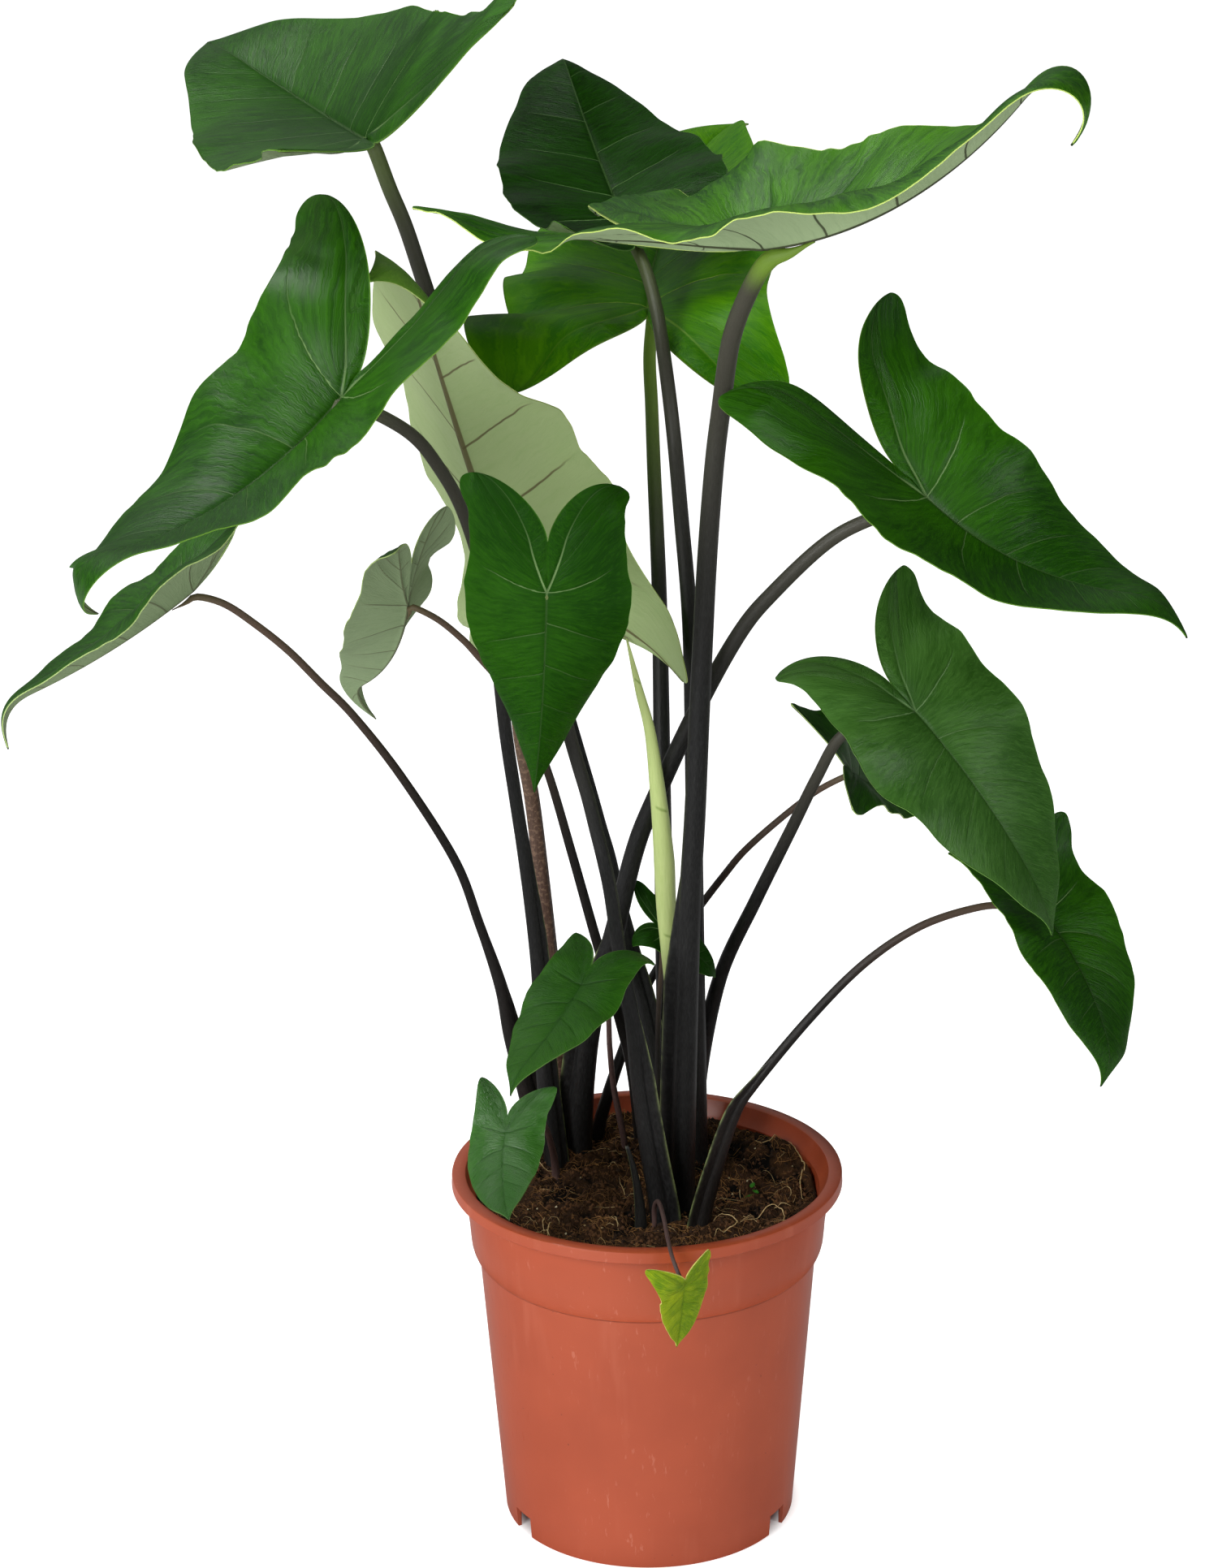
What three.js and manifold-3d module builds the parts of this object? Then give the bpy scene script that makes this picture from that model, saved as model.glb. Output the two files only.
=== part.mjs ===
// Potted black zebrina alocasia: a terracotta nursery pot filled with potting soil, seventeen
// arrow-shaped leaves on long dark stalks, one young leaf that is still rolled, and one short
// pointed sheath that stands in the soil at the front.
// Lengths are in mm and angles in degrees. +Z is up, -Y is the side that the picture shows.
// Leaf and stalk positions are measured from the pot's own axis and the ground.
import * as THREE from "three";
import { mergeVertices } from "three/addons/utils/BufferGeometryUtils.js";
import Module from "manifold-3d";

// The pot stands off centre under its leaves, which reach further to one side than to the other.
const POT_AXIS_X = 33.5;
const POT_AXIS_Y = -107.3;

// Nursery pot, 21 cm across the rim
const POT_HEIGHT = 198.7;
const RIM_RADIUS = 105;
const RIM_INNER_RADIUS = 97.4;
const RIM_DEPTH = 7;
const COLLAR_RADIUS = 94.2;
const COLLAR_STEP_Z = 160.4;
const BODY_TOP_RADIUS = 89.3;
const BODY_TOP_Z = 148;
const BASE_RADIUS = 78;
const WALL = 2;
const FLOOR_Z = 12;
const FLOOR_THICKNESS = 2.6;
const FOOT_CUTS = 3;
const FOOT_CUT_WIDTH = 15;
const FOOT_CUT_HEIGHT = 12;
const DRAIN_HOLES = 6;
const DRAIN_HOLE_RADIUS = 5;
const DRAIN_CIRCLE_RADIUS = 48;
const POT_SEGMENTS = 60;

// Potting soil: lower at the front, raised round the stalks at the back left and against the wall
const SOIL_TOP = 179;
const SOIL_BACK_RISE = 9;
const SOIL_MOUND_HEIGHT = 5;
const SOIL_MOUND_AT = [70, 42];
const SOIL_MOUND_RADIUS = 26;
const SOIL_BUMP = 1.1;
const SOIL_GAP = 0.3;
const HOLE_GAP = 0.35;
const HOLE_FOOT_GAP = 1.2;
const STALK_BURIED = 20;

// Leaf blades
const BLADE_THICKNESS = 1.2;
const STALK_GAP = 0.35;
const LARGE_BLADE_ROWS = { ahead: 14, behind: 7, across: 3 };
const SMALL_BLADE_ROWS = { ahead: 9, behind: 5, across: 3 };
const SMALL_BLADE_LENGTH = 90;
const SPINE_STEPS = 96;

// Stalks
const STALK_RING_SPACING = 30;
const STALK_SIDES = 10;
const THIN_STALK_SIDES = 7;
const THIN_STALK_RADIUS = 3;

// Colours and finishes
const TERRACOTTA = { color: 0xb5573a, roughness: 0.45, metalness: 0 };
const SOIL = { color: 0x3a2618, roughness: 0.95, metalness: 0 };
const DARK_GREEN = { color: 0x1f5c1e, roughness: 0.38, metalness: 0 };
const BRIGHT_GREEN = { color: 0x3f8420, roughness: 0.4, metalness: 0 };
const YELLOW_GREEN = { color: 0x9ab52a, roughness: 0.45, metalness: 0 };
const BLACK_STALK = { color: 0x26262a, roughness: 0.42, metalness: 0 };
const BROWN_STALK = { color: 0x5b4138, roughness: 0.5, metalness: 0 };
const PALE_GREEN = { color: 0xb9cf86, roughness: 0.45, metalness: 0 };

// Each leaf. "at" is where blade and stalk meet. "heading" is the compass direction of the midrib
// (0 = +X, 90 = +Y), "tilt" its rise, "roll" lifts the left half. "length" runs from the stalk to the
// tip, "halfWidth" is the widest half. "arch" bends the midrib down evenly, "tipBend" bends its last
// quarter, "sideBend" bends it to the left, "twist" turns the blade about it. Each half has its own
// lobe length and lobe spread, the fold of the half at the stalk and at the lobe, the curl of its
// margin at both places, how far the lobe bends down, and the phase of the waves.
const LEAVES = {
  top_left: {
    at: [-141.3, 99.9, 737.7],
    heading: 101.5, tilt: -5.3, roll: -49.3,
    length: 234.5, halfWidth: 79, taper: 1.94, notch: 32.4,
    arch: -45.6, tipBend: 39.2, sideBend: 3.2, twist: 30.2, tipFold: 9.9,
    wave: 2.61, waves: 3.4,
    left: {
      lobe: 128.1, spread: 58.7, fold: 43.8, lobeFold: 56.3,
      curl: -9.5, lobeCurl: -5.7, droop: -0.2, phase: 102,
    },
    right: {
      lobe: 140.6, spread: 91, fold: 13.2, lobeFold: 14.2,
      curl: -10.9, lobeCurl: -16.1, droop: 4.4, phase: 57,
    },
  },
  top_right: {
    at: [59.3, -73.5, 713],
    heading: -37.1, tilt: 11.4, roll: 3.4,
    length: 217.3, halfWidth: 63.9, taper: 2.02, notch: 13,
    arch: -53.6, tipBend: 187.6, sideBend: 20, twist: -2.9, tipFold: 4,
    wave: 4.35, waves: 3.85,
    left: {
      lobe: 164.3, spread: 87.6, fold: 39.9, lobeFold: 10.7,
      curl: -4.8, lobeCurl: -23.8, droop: -17.3, phase: -30,
    },
    right: {
      lobe: 163.9, spread: 71.7, fold: 48.8, lobeFold: 16.7,
      curl: -58.3, lobeCurl: -6.6, droop: -23.9, phase: 26,
    },
  },
  left_front: {
    at: [-146.7, -62.6, 639.5],
    heading: -160.1, tilt: -46.7, roll: -26,
    length: 200.1, halfWidth: 65.6, taper: 1.96, notch: 11.1,
    arch: -74.3, tipBend: 174.2, sideBend: 12.3, twist: 31.9, tipFold: -6.4,
    wave: 3.52, waves: 4.4,
    left: {
      lobe: 102.2, spread: 91, fold: 30.8, lobeFold: 60.3,
      curl: -3.6, lobeCurl: -32.5, droop: 13, phase: -7,
    },
    right: {
      lobe: 70, spread: 106, fold: 37.9, lobeFold: 44.3,
      curl: -45.3, lobeCurl: -51.1, droop: 36.1, phase: 128,
    },
  },
  top_centre: {
    at: [-6.9, 164.9, 681],
    heading: 102, tilt: 17.1, roll: -11.1,
    length: 197.8, halfWidth: 61.2, taper: 1.83, notch: 27.2,
    arch: -18.7, tipBend: 103.9, sideBend: -1.3, twist: 10.6, tipFold: -31.7,
    wave: 2.56, waves: 4.38,
    left: {
      lobe: 59.6, spread: 46.8, fold: 20.4, lobeFold: 33.9,
      curl: -2.6, lobeCurl: 2.2, droop: -20.7, phase: 84,
    },
    right: {
      lobe: 58, spread: 47.5, fold: 17.9, lobeFold: 25,
      curl: -8.3, lobeCurl: 0, droop: -20, phase: 9,
    },
  },
  top_back: {
    at: [5.5, 161.6, 634.2],
    heading: 89.2, tilt: 7.7, roll: -29.9,
    length: 249.7, halfWidth: 76.7, taper: 1.95, notch: 12.6,
    arch: -5.9, tipBend: 29.6, sideBend: -31.6, twist: 11.6, tipFold: 22.9,
    wave: 4.94, waves: 4.51,
    left: {
      lobe: 79.9, spread: 110.4, fold: 45.7, lobeFold: 64.7,
      curl: -35.3, lobeCurl: -10.1, droop: 43.6, phase: -65,
    },
    right: {
      lobe: 136.1, spread: 62.4, fold: 8.5, lobeFold: -25.8,
      curl: -20.2, lobeCurl: -6.9, droop: 12.3, phase: 116,
    },
    finish: BRIGHT_GREEN,
  },
  centre_back: {
    at: [-72, 68.8, 513.1],
    heading: -169.5, tilt: 72, roll: 41,
    length: 232.7, halfWidth: 65.5, taper: 2.05, notch: 4.7,
    arch: 22.8, tipBend: 68.9, sideBend: 32.3, twist: -22.9, tipFold: -12.9,
    wave: 4.65, waves: 3.82,
    left: {
      lobe: 69.8, spread: 89.6, fold: 47.8, lobeFold: 26.7,
      curl: -5.8, lobeCurl: -52.7, droop: -28.8, phase: 43,
    },
    right: {
      lobe: 97.9, spread: 104.8, fold: 25.1, lobeFold: 22.6,
      curl: 2.3, lobeCurl: -5.1, droop: -25.7, phase: 21,
    },
  },
  centre_front: {
    at: [-47.5, -95, 548.8],
    heading: -78.3, tilt: -99.9, roll: 15.9,
    length: 127.3, halfWidth: 42.2, taper: 1.79, notch: 27.2,
    arch: 24.7, tipBend: -11.5, sideBend: -5.8, twist: -0.3, tipFold: -43.6,
    wave: 1.41, waves: 3.9,
    left: {
      lobe: 63.9, spread: 37.2, fold: 2.5, lobeFold: -4.6,
      curl: -41.3, lobeCurl: -48.9, droop: 49.3, phase: -58,
    },
    right: {
      lobe: 59.2, spread: 35.9, fold: 0.2, lobeFold: 18.3,
      curl: -25, lobeCurl: -21, droop: 30.7, phase: 131,
    },
  },
  right_upper: {
    at: [143.3, -19.5, 574.5],
    heading: -29.8, tilt: -37.8, roll: 7.6,
    length: 155.8, halfWidth: 54.9, taper: 1.86, notch: 21.3,
    arch: -50.5, tipBend: 79.2, sideBend: 13, twist: -12.7, tipFold: -6.3,
    wave: 1.93, waves: 4.16,
    left: {
      lobe: 102.6, spread: 71.6, fold: 49.4, lobeFold: -7.9,
      curl: -27.2, lobeCurl: 13.5, droop: -30.7, phase: 70,
    },
    right: {
      lobe: 99.3, spread: 69.6, fold: 4.2, lobeFold: 39.3,
      curl: 2.2, lobeCurl: -59.7, droop: -5.9, phase: 9,
    },
  },
  right_middle: {
    at: [138.4, -29.7, 464.7],
    heading: -35.7, tilt: -39.4, roll: 8.1,
    length: 138.3, halfWidth: 48.4, taper: 1.85, notch: 17.9,
    arch: 31, tipBend: 15.4, sideBend: 8.8, twist: -4, tipFold: 10,
    wave: 2.64, waves: 4.25,
    left: {
      lobe: 70, spread: 49.5, fold: 32.3, lobeFold: 17.8,
      curl: -18.8, lobeCurl: -15.1, droop: -12.6, phase: 90,
    },
    right: {
      lobe: 68.2, spread: 37.3, fold: 0.6, lobeFold: 4.4,
      curl: -24.4, lobeCurl: -37.7, droop: 40.2, phase: -40,
    },
  },
  right_low: {
    at: [206.6, -29.9, 353.5],
    heading: -55.8, tilt: -28, roll: -16.9,
    length: 104.9, halfWidth: 37, taper: 1.85, notch: 14.4,
    arch: 25.2, tipBend: 48.1, sideBend: -13.8, twist: -6, tipFold: -8.4,
    wave: 1.93, waves: 3.31,
    left: {
      lobe: 52.5, spread: 37.3, fold: 35.3, lobeFold: 39.7,
      curl: -19.9, lobeCurl: 2.5, droop: -10.8, phase: 37,
    },
    right: {
      lobe: 51.5, spread: 28.3, fold: 17, lobeFold: 10,
      curl: -31.2, lobeCurl: -20, droop: 20, phase: 18,
    },
  },
  right_back: {
    at: [110.3, 37, 409.7],
    heading: 68, tilt: -31.7, roll: 45.3,
    length: 90.9, halfWidth: 30.4, taper: 1.9, notch: 12.5,
    arch: -29.2, tipBend: 7.1, sideBend: -12.3, twist: -3.8, tipFold: 14,
    wave: 0.99, waves: 4.15,
    left: {
      lobe: 48.2, spread: 31.6, fold: 31.5, lobeFold: 11,
      curl: -8.2, lobeCurl: -22.6, droop: 6.7, phase: 67,
    },
    right: {
      lobe: 42.9, spread: 32.6, fold: 17.3, lobeFold: 7.2,
      curl: -16.3, lobeCurl: -22.7, droop: 21.6, phase: 122,
    },
  },
  far_left: {
    at: [-230.3, 0.3, 524],
    heading: -152.8, tilt: -32.3, roll: 26.6,
    length: 131.7, halfWidth: 43.9, taper: 1.91, notch: 2.4,
    arch: -19.2, tipBend: 83, sideBend: -5.1, twist: -1.6, tipFold: 16.9,
    wave: 2.28, waves: 3.49,
    left: {
      lobe: 72.8, spread: 47.2, fold: 45.5, lobeFold: 3.9,
      curl: -66.1, lobeCurl: -23.3, droop: -51.3, phase: -85,
    },
    right: {
      lobe: 44.3, spread: 36.3, fold: 45.6, lobeFold: 33.2,
      curl: -24.6, lobeCurl: -2.1, droop: 4.6, phase: -85,
    },
  },
  left_inner: {
    at: [-121.6, 19.9, 510],
    heading: 104.9, tilt: -62.5, roll: -40.7,
    length: 114.9, halfWidth: 32.3, taper: 1.68, notch: 28.4,
    arch: -49, tipBend: 115.4, sideBend: -9.8, twist: 29.4, tipFold: 58.1,
    wave: 1.44, waves: 3.28,
    left: {
      lobe: 60.6, spread: 29.1, fold: 29.8, lobeFold: 14.6,
      curl: -2.2, lobeCurl: -14.1, droop: 39.8, phase: -22,
    },
    right: {
      lobe: 52.9, spread: 23.6, fold: 25.9, lobeFold: -7,
      curl: -20.4, lobeCurl: -52.1, droop: -25.1, phase: 124,
    },
  },
  small_centre: {
    at: [-33.5, -62, 329.9],
    heading: -115.2, tilt: -25.1, roll: 12.9,
    length: 78.4, halfWidth: 25.3, taper: 1.89, notch: 13,
    arch: -7, tipBend: 38.8, sideBend: -13.2, twist: 4.2, tipFold: 10.1,
    wave: 1.01, waves: 4.34,
    left: {
      lobe: 38.5, spread: 24.6, fold: 2.5, lobeFold: 1.2,
      curl: -30.5, lobeCurl: -41.4, droop: 37.6, phase: -56,
    },
    right: {
      lobe: 36.6, spread: 20.5, fold: 22.1, lobeFold: 16.5,
      curl: -16.2, lobeCurl: -7.8, droop: 20.5, phase: 132,
    },
  },
  small_left: {
    at: [-74.3, -48, 241.5],
    heading: -97.3, tilt: -37.3, roll: 4.2,
    length: 60.5, halfWidth: 20.5, taper: 1.88, notch: 9.5,
    arch: -24.5, tipBend: 4.4, sideBend: 20.6, twist: 5.9, tipFold: 11.8,
    wave: 0.65, waves: 4.17,
    left: {
      lobe: 28.9, spread: 22.5, fold: 4.5, lobeFold: 8.2,
      curl: -23.9, lobeCurl: -14.5, droop: 22.7, phase: 51,
    },
    right: {
      lobe: 29.8, spread: 16.4, fold: 1.9, lobeFold: 23.8,
      curl: -33, lobeCurl: -6.8, droop: 17.8, phase: 91,
    },
  },
  smallest: {
    at: [17.5, -124.2, 189.4],
    heading: -86.9, tilt: -127, roll: -26.3,
    length: 47.6, halfWidth: 15.6, taper: 1.89, notch: 6,
    arch: -25.7, tipBend: 8.2, sideBend: -20.7, twist: -2.1, tipFold: 15.2,
    wave: 0.45, waves: 4.08,
    left: {
      lobe: 23.5, spread: 13.9, fold: 6.5, lobeFold: 10.2,
      curl: -29.9, lobeCurl: -23.1, droop: 13.9, phase: 22,
    },
    right: {
      lobe: 22.6, spread: 18.6, fold: 18.6, lobeFold: 2.8,
      curl: -16.3, lobeCurl: -35.9, droop: 25, phase: 43,
    },
    finish: YELLOW_GREEN,
  },
  small_back: {
    at: [10.5, 20.1, 327.8],
    heading: 8.7, tilt: -38.1, roll: 56.5,
    length: 44.5, halfWidth: 13.7, taper: 1.87, notch: 6.5,
    arch: 15.7, tipBend: 35.3, sideBend: -8, twist: -19.1, tipFold: 2.3,
    wave: 0.46, waves: 3.96,
    left: {
      lobe: 26.4, spread: 14.7, fold: 7, lobeFold: 1.8,
      curl: -32.4, lobeCurl: -3, droop: 18.3, phase: -13,
    },
    right: {
      lobe: 17.2, spread: 15.6, fold: 11.8, lobeFold: -3.5,
      curl: 3.3, lobeCurl: -49.1, droop: 57, phase: 96,
    },
  },
};

// Each stalk: the points it passes through from the soil up, its radius at the soil, at a third
// of its length and under the blade. "sheath" is the foot's thin flap: its side, how far up
// it reaches and how far it stands out.
const STALKS = {
  top_left: {
    path: [
      [16.8, 30, 177.8], [3.7, 43, 245.6], [-1.8, 47, 272.7], [-8.6, 52, 299.2], [-14.1, 57, 325.6],
      [-19.2, 62, 352], [-23.9, 66, 369.2], [-33.5, 74, 403.7], [-64.7, 94, 511.9],
      [-97.3, 99, 613.2], [-110.8, 99, 656.8], [-121, 100, 690.6], [-128.9, 100, 711.2],
    ],
    radii: [7, 4.5, 3.9],
    sheath: [0, 165, 3],
  },
  top_right: {
    path: [
      [18.7, -9, 177.5], [20, -10, 244.5], [22.2, -11, 319.2], [23.6, -12, 360.6],
      [26.2, -13, 405.9], [28.9, -15, 468.4], [32.3, -17, 538.1], [35.9, -21, 589.9],
      [39.1, -26, 620.3], [43.8, -42, 660.8], [51.9, -58, 688.4],
    ],
    radii: [7, 5.7, 4.4],
    sheath: [165, 212, 6],
  },
  left_front: {
    path: [
      [-50.2, 36, 186.5], [-55.1, 38, 244.6], [-57.2, 32, 303], [-63.2, 24, 366.4],
      [-67.6, 19, 404.7], [-71.9, 12, 443.1], [-78, 0, 512.8], [-88.8, -18, 565.2],
      [-101.4, -32, 596.3], [-116.5, -44, 618.1],
    ],
    radii: [6, 3.6, 3.2],
    sheath: [0, 206, 2],
  },
  top_centre: {
    path: [
      [28.5, 36, 180.7], [27.6, 39, 294.5], [26.4, 45, 431], [25, 48, 493], [21.1, 56, 543.8],
      [17.5, 58, 587], [13.7, 75, 619.7], [9.6, 102, 644.5], [3.3, 134, 662.6],
    ],
    radii: [5.4, 4.6, 3.2],
  },
  centre_back: {
    path: [
      [-41.1, 69, 182.2], [-46, 68, 221], [-50.8, 66, 287.5], [-55.8, 64, 347], [-60, 64, 388.9],
      [-65.3, 64, 423.5], [-69.3, 67, 470.3],
    ],
    radii: [5, 4.5, 3.6],
    finish: BROWN_STALK,
  },
  centre_front: {
    path: [
      [7.5, -24, 183.8], [1.7, -25, 220.8], [-3.2, -26, 256.4], [-6.8, -28, 292],
      [-10.4, -29, 315.4], [-14.1, -31, 337.6], [-18, -34, 369.4], [-21.3, -36, 388],
      [-25.3, -34, 405.1], [-29.3, -33, 422.4], [-34.1, -32, 439.7], [-38.6, -33, 457.6],
      [-45.1, -40, 490.2], [-48.9, -60, 521.9],
    ],
    radii: [7, 3.8, 3.1],
    sheath: [330, 120, 4],
  },
  top_back: {
    path: [
      [14.5, 50, 176.4], [12.3, 56, 240], [11.3, 62, 295], [10.6, 72, 376], [10.4, 90, 434.8],
      [10, 104, 485.5], [9.1, 116, 518.5], [7.9, 130, 551], [7, 144, 583.6], [6.2, 156, 607.7],
    ],
    radii: [6, 5, 3.2],
  },
  right_upper: {
    path: [
      [-37.8, 49, 189.2], [-35, 46, 230.3], [-29.2, 38, 271.9], [-16.9, 27, 320.9],
      [-5.3, 16, 373.3], [5.5, 11, 404.4], [28.5, 4, 457.9], [50.1, -2, 499.9], [67.3, -6, 522.5],
      [92.5, -12, 548.8], [113.5, -16, 562],
    ],
    radii: [8.6, 5.2, 3.2],
    sheath: [180, 135, 4],
  },
  right_middle: {
    path: [
      [26, 60, 188.4], [30.1, 56, 234.5], [41.4, 46, 291.6], [58.8, 20, 343.6], [77, 0, 391.8],
      [89.2, -14, 424.7], [100.5, -24, 449.5], [118.7, -29, 461.5],
    ],
    radii: [6, 3.8, 2.6],
    sheath: [180, 85, 2.5],
  },
  right_low: {
    path: [
      [28.6, -30, 181.1], [37.3, -32, 216.5], [46.6, -34, 245.8], [56.8, -35, 262.4],
      [85.1, -36, 299.3], [113.1, -36, 329.5], [141.1, -35, 349.1], [169.3, -33, 358.4],
      [187.1, -31, 358.7],
    ],
    radii: [5.4, 2.7, 1.7],
    sheath: [150, 105, 4],
    finish: BROWN_STALK,
  },
  right_back: {
    path: [
      [-27, 66, 187.3], [-20.9, 66, 211.8], [-13.1, 71, 233.9], [1.6, 75, 273.2], [23.1, 71, 310.4],
      [42.7, 60, 342.7], [57.5, 46, 366.3], [88, 42, 394.5],
    ],
    radii: [4.2, 2.3, 1.6],
    finish: BROWN_STALK,
  },
  far_left: {
    path: [
      [-58.4, 57, 189.8], [-64.6, 55, 219.5], [-72.9, 52, 254.7], [-78, 48, 285],
      [-88.9, 42, 324.3], [-100.8, 34, 363.6], [-127.4, 22, 415.2], [-151, 14, 451.7],
      [-167, 9, 471.3], [-182.4, 5, 489.8], [-198.3, 2, 504.9], [-213.9, 0, 516.9],
    ],
    radii: [7, 3.2, 2.2],
    sheath: [0, 92, 2.5],
    finish: BROWN_STALK,
  },
  left_inner: {
    path: [
      [-1.9, 62, 184.9], [-6.5, 60, 228.8], [-13.4, 58, 261.1], [-25.7, 52, 308.9],
      [-38.6, 44, 363.4], [-51.2, 36, 414.1], [-64.6, 30, 450.5], [-86.4, 24, 481.1],
      [-95, 22, 491.5], [-106.5, 21, 501.6],
    ],
    radii: [4.5, 2.8, 1.6],
    finish: BROWN_STALK,
  },
  small_centre: {
    path: [
      [-11.8, 50, 190.4], [-17.3, 38, 228.8], [-19.3, 5, 266.7], [-20.3, -30, 304.5],
      [-25.6, -50, 324],
    ],
    radii: [2, 1.6, 1.3],
    finish: BROWN_STALK,
  },
  small_left: {
    path: [
      [-49.6, 22, 189], [-52.6, 8, 213.7], [-57.4, -8, 232.7], [-63.8, -26, 244],
      [-70.4, -40, 244.7],
    ],
    radii: [2.6, 1.7, 1.3],
    finish: BROWN_STALK,
  },
  smallest: {
    path: [
      [3.4, -37, 181.4], [3.5, -40, 194.2], [5.5, -52, 202.6], [7.6, -78, 206.5], [9.4, -99, 204.4],
      [11.2, -113, 201.5], [13.5, -119, 196.6],
    ],
    radii: [1.5, 1.2, 1],
    finish: BROWN_STALK,
  },
  small_back: {
    path: [
      [6.4, 17, 185.8], [6.3, 18, 232.4], [7, 20, 278.9], [9, 22, 310.9],
    ],
    radii: [2, 1.6, 1.2],
    finish: BROWN_STALK,
  },
  rolled_leaf: {
    path: [
      [18.3, 13, 179.3], [17.6, 11, 235.4], [15.6, 7, 288.9], [13.1, 2.5, 323.2], [11, 1, 349.5],
      [9.9, 0, 378.1], [6.7, 0, 415.9], [3.1, -1, 446.5], [-2.2, -2, 469], [-8.3, -3, 496.9],
    ],
    radii: [3.6, 5.4, 0.6],
    finish: PALE_GREEN,
  },
  pointed_sheath: {
    path: [
      [-3.4, -29, 182.5], [-5, -30, 201], [-7.9, -31, 216.6], [-10.4, -32, 226],
    ],
    radii: [3.4, 2.6, 0.5],
  },
};

const wasm = await Module();
wasm.setup();

const radians = (degrees) => (degrees * Math.PI) / 180;
const clamp01 = (t) => Math.min(1, Math.max(0, t));
const smooth = (t) => clamp01(t) ** 2 * (3 - 2 * clamp01(t));
const mix = (a, b, t) => a + (b - a) * t;

// Builds an indexed geometry from points and triangles.
function geometryOf(points, triangles) {
  const flat = new Float32Array(points.flatMap((p) => [p.x, p.y, p.z]));
  const geometry = new THREE.BufferGeometry();
  geometry.setAttribute("position", new THREE.BufferAttribute(flat, 3));
  geometry.setIndex(triangles.flat());
  return geometry;
}

function toSolid(geometry) {
  const plain = geometry.clone();
  plain.deleteAttribute("normal");
  plain.deleteAttribute("uv");
  const merged = mergeVertices(plain, 1e-4);
  const mesh = new wasm.Mesh({
    numProp: 3,
    vertProperties: merged.attributes.position.array,
    triVerts: new Uint32Array(merged.index.array),
  });
  return new wasm.Manifold(mesh);
}

function fromSolid(solid) {
  const mesh = solid.getMesh();
  const geometry = new THREE.BufferGeometry();
  const positions = new Float32Array(mesh.vertProperties);
  geometry.setAttribute("position", new THREE.BufferAttribute(positions, 3));
  geometry.setIndex(Array.from(mesh.triVerts));
  return geometry;
}

// A line of evenly spaced samples is read at any place between them.
function readAt(samples, place) {
  const last = samples.length - 1;
  const position = clamp01(place) * last;
  const index = Math.min(last - 1, Math.floor(position));
  return mix(samples[index], samples[index + 1], position - index);
}

// Outer edge of a half blade: an arched taper ahead of the stalk, a round-ended lobe behind it.
function outerEdge(leaf, half, u) {
  if (u >= 0) {
    const x = clamp01(u / leaf.length);
    const drawnOut = 1 - 0.5 * smooth((x - 0.8) / 0.2);
    return leaf.halfWidth * (1 + 0.22 * x) * (1 - x ** leaf.taper) * drawnOut;
  }
  const y = clamp01(-u / half.lobe);
  const waist = leaf.halfWidth * (1 - 0.1 * Math.sin(Math.PI * y));
  const side = waist + (1.18 * half.spread - leaf.halfWidth) * y;
  return half.spread + (side - half.spread) * Math.sqrt(Math.max(0, 1 - y ** 5));
}

// Inner edge of a lobe, from the notch behind the stalk to the lobe's tip
function innerEdge(leaf, half, u) {
  const z = clamp01((-u - leaf.notch) / (half.lobe - leaf.notch));
  return half.spread * (1 - Math.max(0, 1 - z ** 1.7) ** 0.6);
}

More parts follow.
